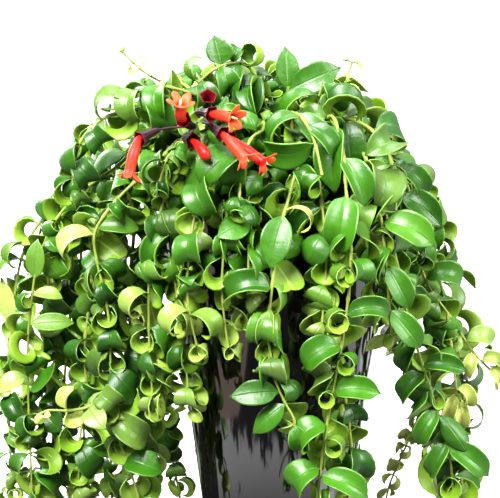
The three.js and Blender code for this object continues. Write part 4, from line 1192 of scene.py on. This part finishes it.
def stem_mesh(path, radius, leaf_scale, nodes):
    """A swelling tube: thicker where each leaf pair grows, thinner towards the tip."""
    data = bpy.data.curves.new("stem_line", "CURVE")
    data.dimensions = "3D"
    data.bevel_depth = radius * leaf_scale ** 0.5
    data.bevel_resolution = 1
    data.use_fill_caps = True
    spline = data.splines.new("POLY")
    spline.points.add(len(path) - 1)
    along = arc_lengths(path)
    for point, place, at in zip(spline.points, path, along):
        point.co = (*(place * MM), 1.0)
        swell = max((math.exp(-((at - node) / NODE_WIDTH) ** 2) for node in nodes), default=0.0)
        point.radius = (1.0 - STEM_TAPER * at / along[-1]) * (1.0 + NODE_SWELL * swell)
    mesh = mesh_of(bpy.data.objects.new("stem_line", data))
    bpy.data.curves.remove(data)
    return mesh


def thicken(bm, thickness):
    """Gives the flat blades their flesh; the underside and margin take the next two materials."""
    mesh = bpy.data.meshes.new("blades")
    bm.to_mesh(mesh)
    bm.free()
    for name in SHOOT_MATERIALS[:STEM_SLOT]:
        mesh.materials.append(bpy.data.materials[name])
    blades = bpy.data.objects.new("blades", mesh)
    flesh = blades.modifiers.new("flesh", "SOLIDIFY")
    flesh.thickness = thickness
    flesh.offset = -1.0
    flesh.use_even_offset = False
    flesh.material_offset = 1
    flesh.material_offset_rim = 2
    return mesh_of(blades)


def placed_leaves(name):
    """The shoot's placed leaves, each as its limb, place along it, way out, points, tone and youth."""
    leaves = []
    limbs = shoot_limbs(name)[1]
    for limb, place, ahead, up, length, width, curl, fold, twist, tone, youth in FEATURES.get(name, ()):
        path = limbs[limb][0]
        start = path[point_at(arc_lengths(path), place)]
        ahead = unit(np.array(ahead))
        up = np.array(up)
        up = unit(up - ahead * np.dot(up, ahead))
        shape = leaf_shape(length, width, math.radians(curl), fold=fold, twist=twist, phase=float(place),
                           **PLACED_LEAF)
        points = stand_leaf(shape, start, ahead, np.cross(up, ahead), up)
        leaves.append((limb, place, ahead, points, tone, youth))
    return leaves


def tip_youth(name, limb):
    """How young the leaves at the limb's very tip look."""
    if (name, limb) in PALE_TIPS:
        return PALE_YOUTH
    return CROWN_YOUTH if name.startswith(CROWN_SHOOTS) else USUAL_YOUTH


def grow_limb(bm, rng, name, limb, scale, path, bare, template, leaf, crowd):
    """Sets opposite leaf pairs along one limb, each pair square to the last. Returns the pairs' places."""
    tangents, sides, fronts = path_frames(path)
    along = arc_lengths(path)
    crown = name.startswith(CROWN_SHOOTS)
    pitch = (CROWN_PITCH if crown else LEAF_PITCH) * (1 - PITCH_BY_SCALE + PITCH_BY_SCALE * scale)
    places = np.arange(bare, along[-1] - TIP_GAP, pitch) + rng.uniform(-PLACE_SPREAD, PLACE_SPREAD)
    places = np.append(places[places < along[-1] - LAST_GAP], along[-1] - TIP_GAP)
    turn = rng.uniform(0, math.tau)
    placed = [own for own in placed_leaves(name) if own[0] == limb]
    for _, _, _, points, tone, youth in placed:
        add_leaf(bm, template, points, tone, youth)
    for pair, place in enumerate(places):
        i = point_at(along, place)
        from_tip = min(len(places) - 1 - pair, len(TIP_SIZES) - 1)
        youth = THIN_YOUTH if scale < THIN_SHOOT else TIP_PALENESS[from_tip] * tip_youth(name, limb)
        youth = max(youth, OLIVE_YOUTH if name == OLIVE_SHOOT else 0.0)
        turn += math.pi / 2 + rng.normal(0, PAIR_SPREAD)
        for side in (0.0, math.pi):
            out = sides[i] * math.cos(turn + side) + fronts[i] * math.sin(turn + side)
            if any(abs(place - spot) < SPOT_NEAR and np.dot(out, ahead) > SPOT_ALIKE
                   for _, spot, ahead, *_ in placed):
                continue
            points = place_leaf(rng, leaf, crowd, name, path[i] + out, tangents[i], out,
                                scale * TIP_SIZES[from_tip], youth)
            tone = rng.uniform(0, CROWN_TONE if crown else 1.0)
            fresh = FRESH_MOST * max(0.0, FRESH_STEPS * tone % 1.0 - FRESH_FROM) / FRESH_SPAN
            if points is not None:
                add_leaf(bm, template, points, tone, max(youth, fresh))
    return places


def build_shoot(name, index, template, leaf, stem, crowd):
    """One shoot as one piece: its leaves with their flesh, and its stem and branches."""
    rng = np.random.default_rng(leaf.seed * SEEDS_APART + index)
    scale, limbs = shoot_limbs(name)
    bm = bmesh.new()
    stems = []
    for limb, (path, bare) in enumerate(limbs):
        places = grow_limb(bm, rng, name, limb, scale, path, bare, template, leaf, crowd)
        stems.append(stem_mesh(path, stem.radius, scale, places))
    whole = bmesh.new()
    whole.from_mesh(thicken(bm, leaf.thickness * (1 - FLESH_BY_SCALE + FLESH_BY_SCALE * scale)))
    count = len(whole.faces)
    for mesh in stems:
        whole.from_mesh(mesh)
    paint_faces(whole, count, STEM_SLOT)
    bmesh.ops.recalc_face_normals(whole, faces=whole.faces)
    obj = object_from(whole, f"leafy_shoot_{name}", SHOOT_MATERIALS)
    return finish_piece(obj, "leaf", f"shoot_{name}")


def build_shoots(leaf, stem):
    """Builds every shoot, with room kept for the stems, the placed leaves and the flowers."""
    names = [*SHOOTS, *ARCHES]
    crowd = Crowd()
    for name in names:
        for path, _ in shoot_limbs(name)[1]:
            crowd.add(path[::2], name)
        for _, _, _, points, _, _ in placed_leaves(name):
            crowd.keep_in_view(probes_of(points, 3, 2), TOP_VIEW if name.startswith("top") else VIEW)
    for calyx, corolla in FLOWERS.values():
        axis = smooth_path([*calyx, *(corolla or ())], FLOWER_STEP)
        crowd.keep_in_view(np.concatenate([axis, axis[-1] + FLOWER_REACH * FLOWER_SIDES]), VIEW)
    template = leaf_template()
    for index, name in enumerate(names):
        build_shoot(name, index, template, leaf, stem, crowd)


# ---- flowers ----
RING_SIDES, STALK_STEPS, TUBE_STEPS, DENSE_STEP = 40, 30, 24, 0.5
# A calyx by the way back from its mouth: its radius, and how much of its own dark purple shows; elsewhere it
# shows a paler lavender, a painted highlight, most towards the stalk and a little at the mouth.
CALYX_BACKS, CALYX_RADII = [0, 2.5, 5, 8, 15, 19, 21], [6.3, 5.2, 4.2, 3.4, 3.0, 2.2, 0.85]
CALYX_DARK_BACKS, CALYX_DARK_SHARES = [0, 6, 18, 24], [0.35, 0.9, 0.75, 0.0]
CALYX_RIBS, RIB_HEIGHT, RIBS_END = 10, 0.045, 19
CALYX_LOBES, MOUTH_WAVE, MOUTH_DEPTH = 5, 0.08, 5
CUP_DEPTH, CUP_WALL = 12.0, 0.6
# A corolla by its share of the way out: the radius of an open tube and of a closed bud.
TUBE_SHARES, TUBE_RADII = [0, 0.15, 0.35, 0.65, 0.9, 1.0], [1.5, 1.8, 3.1, 4.6, 4.2, 4.4]
BUD_SHARES, BUD_RADII = [0, 0.15, 0.35, 0.62, 0.84, 0.95, 1.0], [1.5, 1.7, 2.9, 4.4, 4.8, 3.6, 0.6]
TUBE_WALL, TUBE_FLATNESS, THROAT_DEPTH, NARROWEST = 0.45, 0.12, 0.55, 0.3
# The corolla starts inside the calyx, at these two points of its axis.
TUBE_START, AXIS_STEPS = (27, 34), 40
LOBES, LOBE_LENGTH, UPPER_LONGER, NOTCH, LOBE_ROUNDNESS, LOBE_RINGS = 5, 9.5, 0.16, 1.6, 0.45, 6
THROAT, LOBE_BEND, LOBE_MORE_BEND = 4.4, 0.35, 0.55
# How orange comes up along the tube, and how orange each flower is; the others have USUAL_ORANGE.
ORANGE_SHARES, ORANGE_LEVELS = [0.3, 1.0], [0.1, 0.8]
ORANGE, USUAL_ORANGE = {"f": 0.0, "b": 0.75, "a": 0.6}, 0.85
LOBE_ORANGE, INNER_ORANGE = 0.8, 0.5
ANTHER_RADII = (0.35, 0.3, 0.3, 0.34, 0.85, 0.55)
FILAMENT_FOOT, ANTHER_START, FILAMENT_RIPE, STAMEN_SIDES = 16, 3, 0.2, 8


def place_ring(ring, centre, axes, reach, ahead=None):
    """Puts a ring round a centre; reach(angle) is its radius and ahead(angle) its shift forwards."""
    tangent, up, front = axes
    for j, vert in enumerate(ring):
        angle = math.tau * j / len(ring)
        place = centre + (up * math.cos(angle) + front * math.sin(angle)) * reach(angle)
        if ahead:
            place = place + tangent * ahead(angle)
        vert.co = place * MM


def next_ring(bm, ring):
    """Extrudes a closed ring and returns the new ring in the same order."""
    edges = [bm.edges.get((a, b)) for a, b in zip(ring, ring[1:] + ring[:1])]
    grown = bmesh.ops.extrude_edge_only(bm, edges=edges)["geom"]
    fresh = {item for item in grown if isinstance(item, bmesh.types.BMVert)}
    return [next(e.other_vert(old) for e in old.link_edges if e.other_vert(old) in fresh) for old in ring]


def cap(bm, ring):
    """Closes a ring with one face."""
    bmesh.ops.contextual_create(bm, geom=ring)


def set_colour_share(ring, layer, ripeness):
    """Sets, along a ring, the share by which its colour runs from the low colour to the high one."""
    for vert in ring:
        vert[layer] = ripeness


def tube_along(bm, path, radii, sides):
    """Extrudes a ring along the path, so that ring i has radius radii(i, angle). Returns the rings."""
    rings = [bmesh.ops.create_circle(bm, segments=sides, radius=1.0)["verts"]]
    for _ in path[1:]:
        rings.append(next_ring(bm, rings[-1]))
    for i, (ring, *axes) in enumerate(zip(rings, *path_frames(path))):
        place_ring(ring, path[i], axes, lambda angle: radii(i, angle))
    return rings


def even_path(points, count):
    """A smooth path through the points, as this many points the same distance apart."""
    dense = smooth_path(points, DENSE_STEP)
    along = arc_lengths(dense)
    wanted = np.linspace(0, along[-1], count)
    return np.stack([np.interp(wanted, along, dense[:, k]) for k in range(3)], axis=1)


def inner_wall(bm, rim, path, rows, outer, wall):
    """Turns a rim inwards and runs a second wall back down the tube, closed by a cap."""
    tangents, ups, fronts = path_frames(path)
    ring = rim
    for i in rows:
        ring = next_ring(bm, ring)
        place_ring(ring, path[i], (tangents[i], ups[i], fronts[i]),
                   lambda angle: max(NARROWEST, outer(i, angle) - wall))
    cap(bm, ring)


def finish_flower(bm, kind, part, name, materials):
    """Makes a flower's bmesh into the piece that takes the place of its node."""
    bmesh.ops.recalc_face_normals(bm, faces=bm.faces)
    return finish_piece(object_from(bm, f"{kind}_{part}_{name}", materials), kind, f"{kind}_{name}")


def build_calyx(name, points):
    """A thin stalk, then a ribbed cup that flares to a wavy mouth; its maroon inner wall runs back down."""
    path = even_path(points, STALK_STEPS)
    steps = len(path) - 1
    backs = [arc_lengths(path)[-1] * (1 - i / steps) for i in range(len(path))]

    def outer(i, angle):
        reach = float(np.interp(backs[i], CALYX_BACKS, CALYX_RADII))
        rib = 1.0 + RIB_HEIGHT * math.cos(CALYX_RIBS * angle) * (backs[i] < RIBS_END)
        mouth = max(0.0, 1 - backs[i] / MOUTH_DEPTH)
        return reach * rib * (1.0 + MOUTH_WAVE * mouth * math.cos(CALYX_LOBES * angle))

    bm = bmesh.new()
    colour_share = bm.verts.layers.float.new("colour_share")
    rings = tube_along(bm, path, outer, RING_SIDES)
    # Towards the stalk and at the mouth the calyx turns to its painted lavender highlight.
    for ring, back in zip(rings, backs):
        set_colour_share(ring, colour_share, float(np.interp(back, CALYX_DARK_BACKS, CALYX_DARK_SHARES)))
    cap(bm, rings[0])
    cup = [i for i in range(steps, 0, -1) if backs[i] < CUP_DEPTH]
    first = len(bm.faces)
    inner_wall(bm, rings[-1], path, cup, outer, CUP_WALL)
    paint_faces(bm, first, 1)
    return finish_flower(bm, "calyx", "cup", name, ["calyx_purple", "calyx_maroon"])


def flattened(angle):
    """A tube is a little flatter from front to back."""
    return 1.0 - TUBE_FLATNESS * math.sin(angle) ** 2


def lobe_reach(angle):
    """How far the lobes stand out at this angle; the upper ones are the longest."""
    petal = (0.5 + 0.5 * math.cos(LOBES * angle)) ** LOBE_ROUNDNESS
    return NOTCH + (LOBE_LENGTH * (1 + UPPER_LONGER * math.cos(angle)) - NOTCH) * petal


def lobe_ring(bm, ring, centre, axes, share, thickness):
    """Extrudes the lobes to a share of their length, where they bend outwards from the throat."""
    bend = LOBE_BEND + LOBE_MORE_BEND * share

    def out(angle):
        return (THROAT + lobe_reach(angle) * share * math.sin(bend) - thickness) * flattened(angle)

    def ahead(angle):
        return lobe_reach(angle) * share * math.cos(bend) + thickness * math.sin(bend)

    ring = next_ring(bm, ring)
    place_ring(ring, centre, axes, out, ahead)
    return ring


def grow_lobes(bm, ring, path, axes, colour_share, orange, outer):
    """The lobes, then their inner side and the throat, down to a cap deep in the tube."""
    shares = [step / LOBE_RINGS for step in range(1, LOBE_RINGS + 1)]
    for share in shares:
        ring = lobe_ring(bm, ring, path[-1], axes, share, 0)
        set_colour_share(ring, colour_share, orange * (LOBE_ORANGE + (1 - LOBE_ORANGE) * share))
    first = len(bm.faces)
    for share in reversed(shares):
        ring = lobe_ring(bm, ring, path[-1], axes, share, TUBE_WALL)
        set_colour_share(ring, colour_share, orange * INNER_ORANGE * (1 - share))
    inner_wall(bm, ring, path, range(len(path) - 1, int(len(path) * THROAT_DEPTH), -1), outer, TUBE_WALL)
    paint_faces(bm, first, 1)


def add_stamens(bm, path, colour_share):
    """Two pairs of anthers on thin filaments that stand just out of the throat."""
    tangents, ups, fronts = path_frames(path)
    for side in (-1, 1):
        for lift in (1.0, 3.0):
            foot = path[FILAMENT_FOOT] + ups[FILAMENT_FOOT] * 0.8 * side
            tip = path[-1] + tangents[-1] * (2.0 + lift)
            tip = tip + ups[-1] * (1.2 + 0.5 * side) + fronts[-1] * 0.9 * side
            first = len(bm.faces)
            line = np.linspace(foot, tip, len(ANTHER_RADII))
            rings = tube_along(bm, line, lambda i, angle: ANTHER_RADII[i], STAMEN_SIDES)
            cap(bm, rings[-1])
            cap(bm, rings[0])
            paint_faces(bm, first, 2)
            for i, ring in enumerate(rings):
                set_colour_share(ring, colour_share, 1.0 if i >= ANTHER_START else FILAMENT_RIPE)


def build_corolla(name, calyx, corolla):
    """A slightly flattened curved tube that ends in five spreading lobes, or in a blunt tip on the bud."""
    axis = even_path(calyx, AXIS_STEPS)
    path = even_path([*(axis[i] for i in TUBE_START), calyx[-1], *corolla], TUBE_STEPS)
    steps = len(path) - 1
    closed = name == BUD
    shares, radii = (BUD_SHARES, BUD_RADII) if closed else (TUBE_SHARES, TUBE_RADII)
    orange = 0.0 if closed else ORANGE.get(name, USUAL_ORANGE)

    def outer(i, angle):
        return float(np.interp(i / steps, shares, radii)) * flattened(angle)

    bm = bmesh.new()
    colour_share = bm.verts.layers.float.new("colour_share")
    rings = tube_along(bm, path, outer, RING_SIDES)
    for i, ring in enumerate(rings):
        set_colour_share(ring, colour_share, orange * float(np.interp(i / steps, ORANGE_SHARES, ORANGE_LEVELS)))
    cap(bm, rings[0])
    if closed:
        cap(bm, rings[-1])
    else:
        axes = [frames[-1] for frames in path_frames(path)]
        grow_lobes(bm, rings[-1], path, axes, colour_share, orange, outer)
        add_stamens(bm, path, colour_share)
    return finish_flower(bm, "corolla", "tube", name, ["corolla_red", "corolla_throat", "stamen"])


# ---- stage ----
FLOOR_RADIUS, FLOOR_SIDES = 25.0, 96
# Each light's name, place, target, size in metres and power in watts.
LIGHTS = (
    ("key_softbox", (-0.8, -1.5, 1.9), (0, 0, 0.3), (1.2, 1.2), 168),
    ("fill_softbox", (1.5, -0.9, 1.0), (0, 0, 0.25), (0.7, 1.5), 52),
    ("top_softbox", (0.1, 0.5, 1.9), (0, 0, 0.4), (1.0, 1.0), 18),
    ("back_softbox", (-1.2, 1.7, 1.1), (0, 0, 0.25), (1.2, 1.2), 40),
)
CAMERA_TARGET = Vector((-0.023, 0.0, 0.310))
SENSOR_WIDTH, CLIP_END = 36, 50
SKY_START, SKY_DIFFUSE, SKY_MIRRORED, SKY_LEAST = 4.0, 0.12, 0.75, 0.05


def build_stage(settings):
    """Builds the floor, the surroundings, the lights and the camera."""
    bm = bmesh.new()
    bmesh.ops.create_circle(bm, cap_ends=True, segments=FLOOR_SIDES, radius=FLOOR_RADIUS)
    # The floor's material is white to the camera and gives the glaze a painted reflection.
    floor = object_from(bm, "studio_floor", ["studio_backdrop"])
    bpy.context.scene.world = studio_world()
    bpy.context.scene.view_settings.view_transform = "Standard"
    bpy.context.scene.view_settings.look = "Medium High Contrast"
    for light in LIGHTS:
        add_area_light(*light)
    add_camera(settings)


def studio_world():
    """White to the camera; for all other rays bright behind the plant and dark in front of it."""
    world = bpy.data.worlds.new("studio_world")
    world.use_nodes = True
    tree = world.node_tree
    camera, glossy = light_path(tree)
    direction = tree.nodes.new("ShaderNodeTexCoord").outputs["Generated"]
    behind = (parts_of(tree, direction)[1] * SKY_START).clamped()
    lit = behind * glossy.mapped(SKY_DIFFUSE, SKY_MIRRORED) + SKY_LEAST
    feed(tree, tree.nodes["Background"], Color=WHITE, Strength=math_node(tree, "MAXIMUM", lit, camera))
    return world


def place_facing(obj, place, facing):
    """Puts a light or a camera at a place so that it looks along the facing."""
    obj.location = place
    obj.rotation_euler = facing.to_track_quat("-Z", "Y").to_euler()
    bpy.context.scene.collection.objects.link(obj)


def add_area_light(name, place, target, size, power):
    """A soft rectangular light that faces its target."""
    data = bpy.data.lights.new(name, "AREA")
    data.shape = "RECTANGLE"
    data.size, data.size_y = size
    data.energy = power
    place_facing(bpy.data.objects.new(name, data), place, Vector(target) - Vector(place))


def add_camera(settings):
    """The camera looks down at the plant's middle from the front."""
    back = Vector((0, -math.cos(settings.elevation), math.sin(settings.elevation)))
    data = bpy.data.cameras.new("view_camera")
    data.sensor_width = SENSOR_WIDTH
    data.lens = settings.lens
    data.clip_end = CLIP_END
    camera = bpy.data.objects.new("view_camera", data)
    place_facing(camera, CAMERA_TARGET + back * settings.distance, -back)
    bpy.context.scene.camera = camera


# ---- operators ----
class PLANT_OT_materials(bpy.types.Operator):
    """Builds the node groups and every material"""
    bl_idname = "plant.materials"
    bl_label = "Materials"

    def execute(self, context):
        build_materials(context.scene)
        return {"FINISHED"}


class PLANT_OT_planter(bpy.types.Operator):
    """Builds the glazed planter"""
    bl_idname = "plant.planter"
    bl_label = "Planter"

    def execute(self, context):
        build_planter(context.scene.plant_planter)
        return {"FINISHED"}


class PLANT_OT_mix(bpy.types.Operator):
    """Builds the potting mix"""
    bl_idname = "plant.mix"
    bl_label = "Potting Mix"

    def execute(self, context):
        build_mix()
        return {"FINISHED"}


class PLANT_OT_shoots(bpy.types.Operator):
    """Builds every shoot with its curled leaves"""
    bl_idname = "plant.shoots"
    bl_label = "Leafy Shoots"

    def execute(self, context):
        build_shoots(context.scene.plant_leaf, context.scene.plant_stem)
        return {"FINISHED"}


class PLANT_OT_calyces(bpy.types.Operator):
    """Builds the dark cups of the flowers"""
    bl_idname = "plant.calyces"
    bl_label = "Calyces"

    def execute(self, context):
        for name, (calyx, _) in FLOWERS.items():
            build_calyx(name, calyx)
        return {"FINISHED"}


class PLANT_OT_corollas(bpy.types.Operator):
    """Builds the red tubes of the flowers"""
    bl_idname = "plant.corollas"
    bl_label = "Corollas"

    def execute(self, context):
        for name, (calyx, corolla) in FLOWERS.items():
            if corolla:
                build_corolla(name, calyx, corolla)
        return {"FINISHED"}


class PLANT_OT_stage(bpy.types.Operator):
    """Builds the floor, the lights and the camera"""
    bl_idname = "plant.stage"
    bl_label = "Stage"

    def execute(self, context):
        build_stage(context.scene.plant_stage)
        return {"FINISHED"}


OPERATORS = (PLANT_OT_materials, PLANT_OT_planter, PLANT_OT_mix, PLANT_OT_shoots, PLANT_OT_calyces,
             PLANT_OT_corollas, PLANT_OT_stage)


class PLANT_PT_panel(bpy.types.Panel):
    """Lists the steps that build the plant"""
    bl_idname = "PLANT_PT_panel"
    bl_label = "Lipstick Plant"
    bl_space_type = "VIEW_3D"
    bl_region_type = "UI"
    bl_category = "Lipstick Plant"

    def draw(self, context):
        for operator in OPERATORS:
            self.layout.operator(operator.bl_idname)
        for settings in SETTINGS:
            box = self.layout.box()
            group = getattr(context.scene, settings)
            for name in group.__annotations__:
                box.prop(group, name)


SETTINGS = {
    "plant_leaf": LeafSettings,
    "plant_stem": StemSettings,
    "plant_planter": PlanterSettings,
    "plant_flower": FlowerSettings,
    "plant_stage": StageSettings,
}


def register():
    """Registers the settings, the operators and the panel."""
    for name, settings in SETTINGS.items():
        bpy.utils.register_class(settings)
        setattr(bpy.types.Scene, name, PointerProperty(type=settings))
    for operator in OPERATORS:
        bpy.utils.register_class(operator)
    bpy.utils.register_class(PLANT_PT_panel)


def unregister():
    """Takes back what register did."""
    bpy.utils.unregister_class(PLANT_PT_panel)
    for operator in reversed(OPERATORS):
        bpy.utils.unregister_class(operator)
    for name, settings in reversed(SETTINGS.items()):
        delattr(bpy.types.Scene, name)
        bpy.utils.unregister_class(settings)


def main():
    """Builds everything."""
    register()
    bpy.ops.plant.materials()
    bpy.ops.plant.planter()
    bpy.ops.plant.mix()
    bpy.ops.plant.shoots()
    bpy.ops.plant.calyces()
    bpy.ops.plant.corollas()
    bpy.ops.plant.stage()


if __name__ == "__main__":
    main()
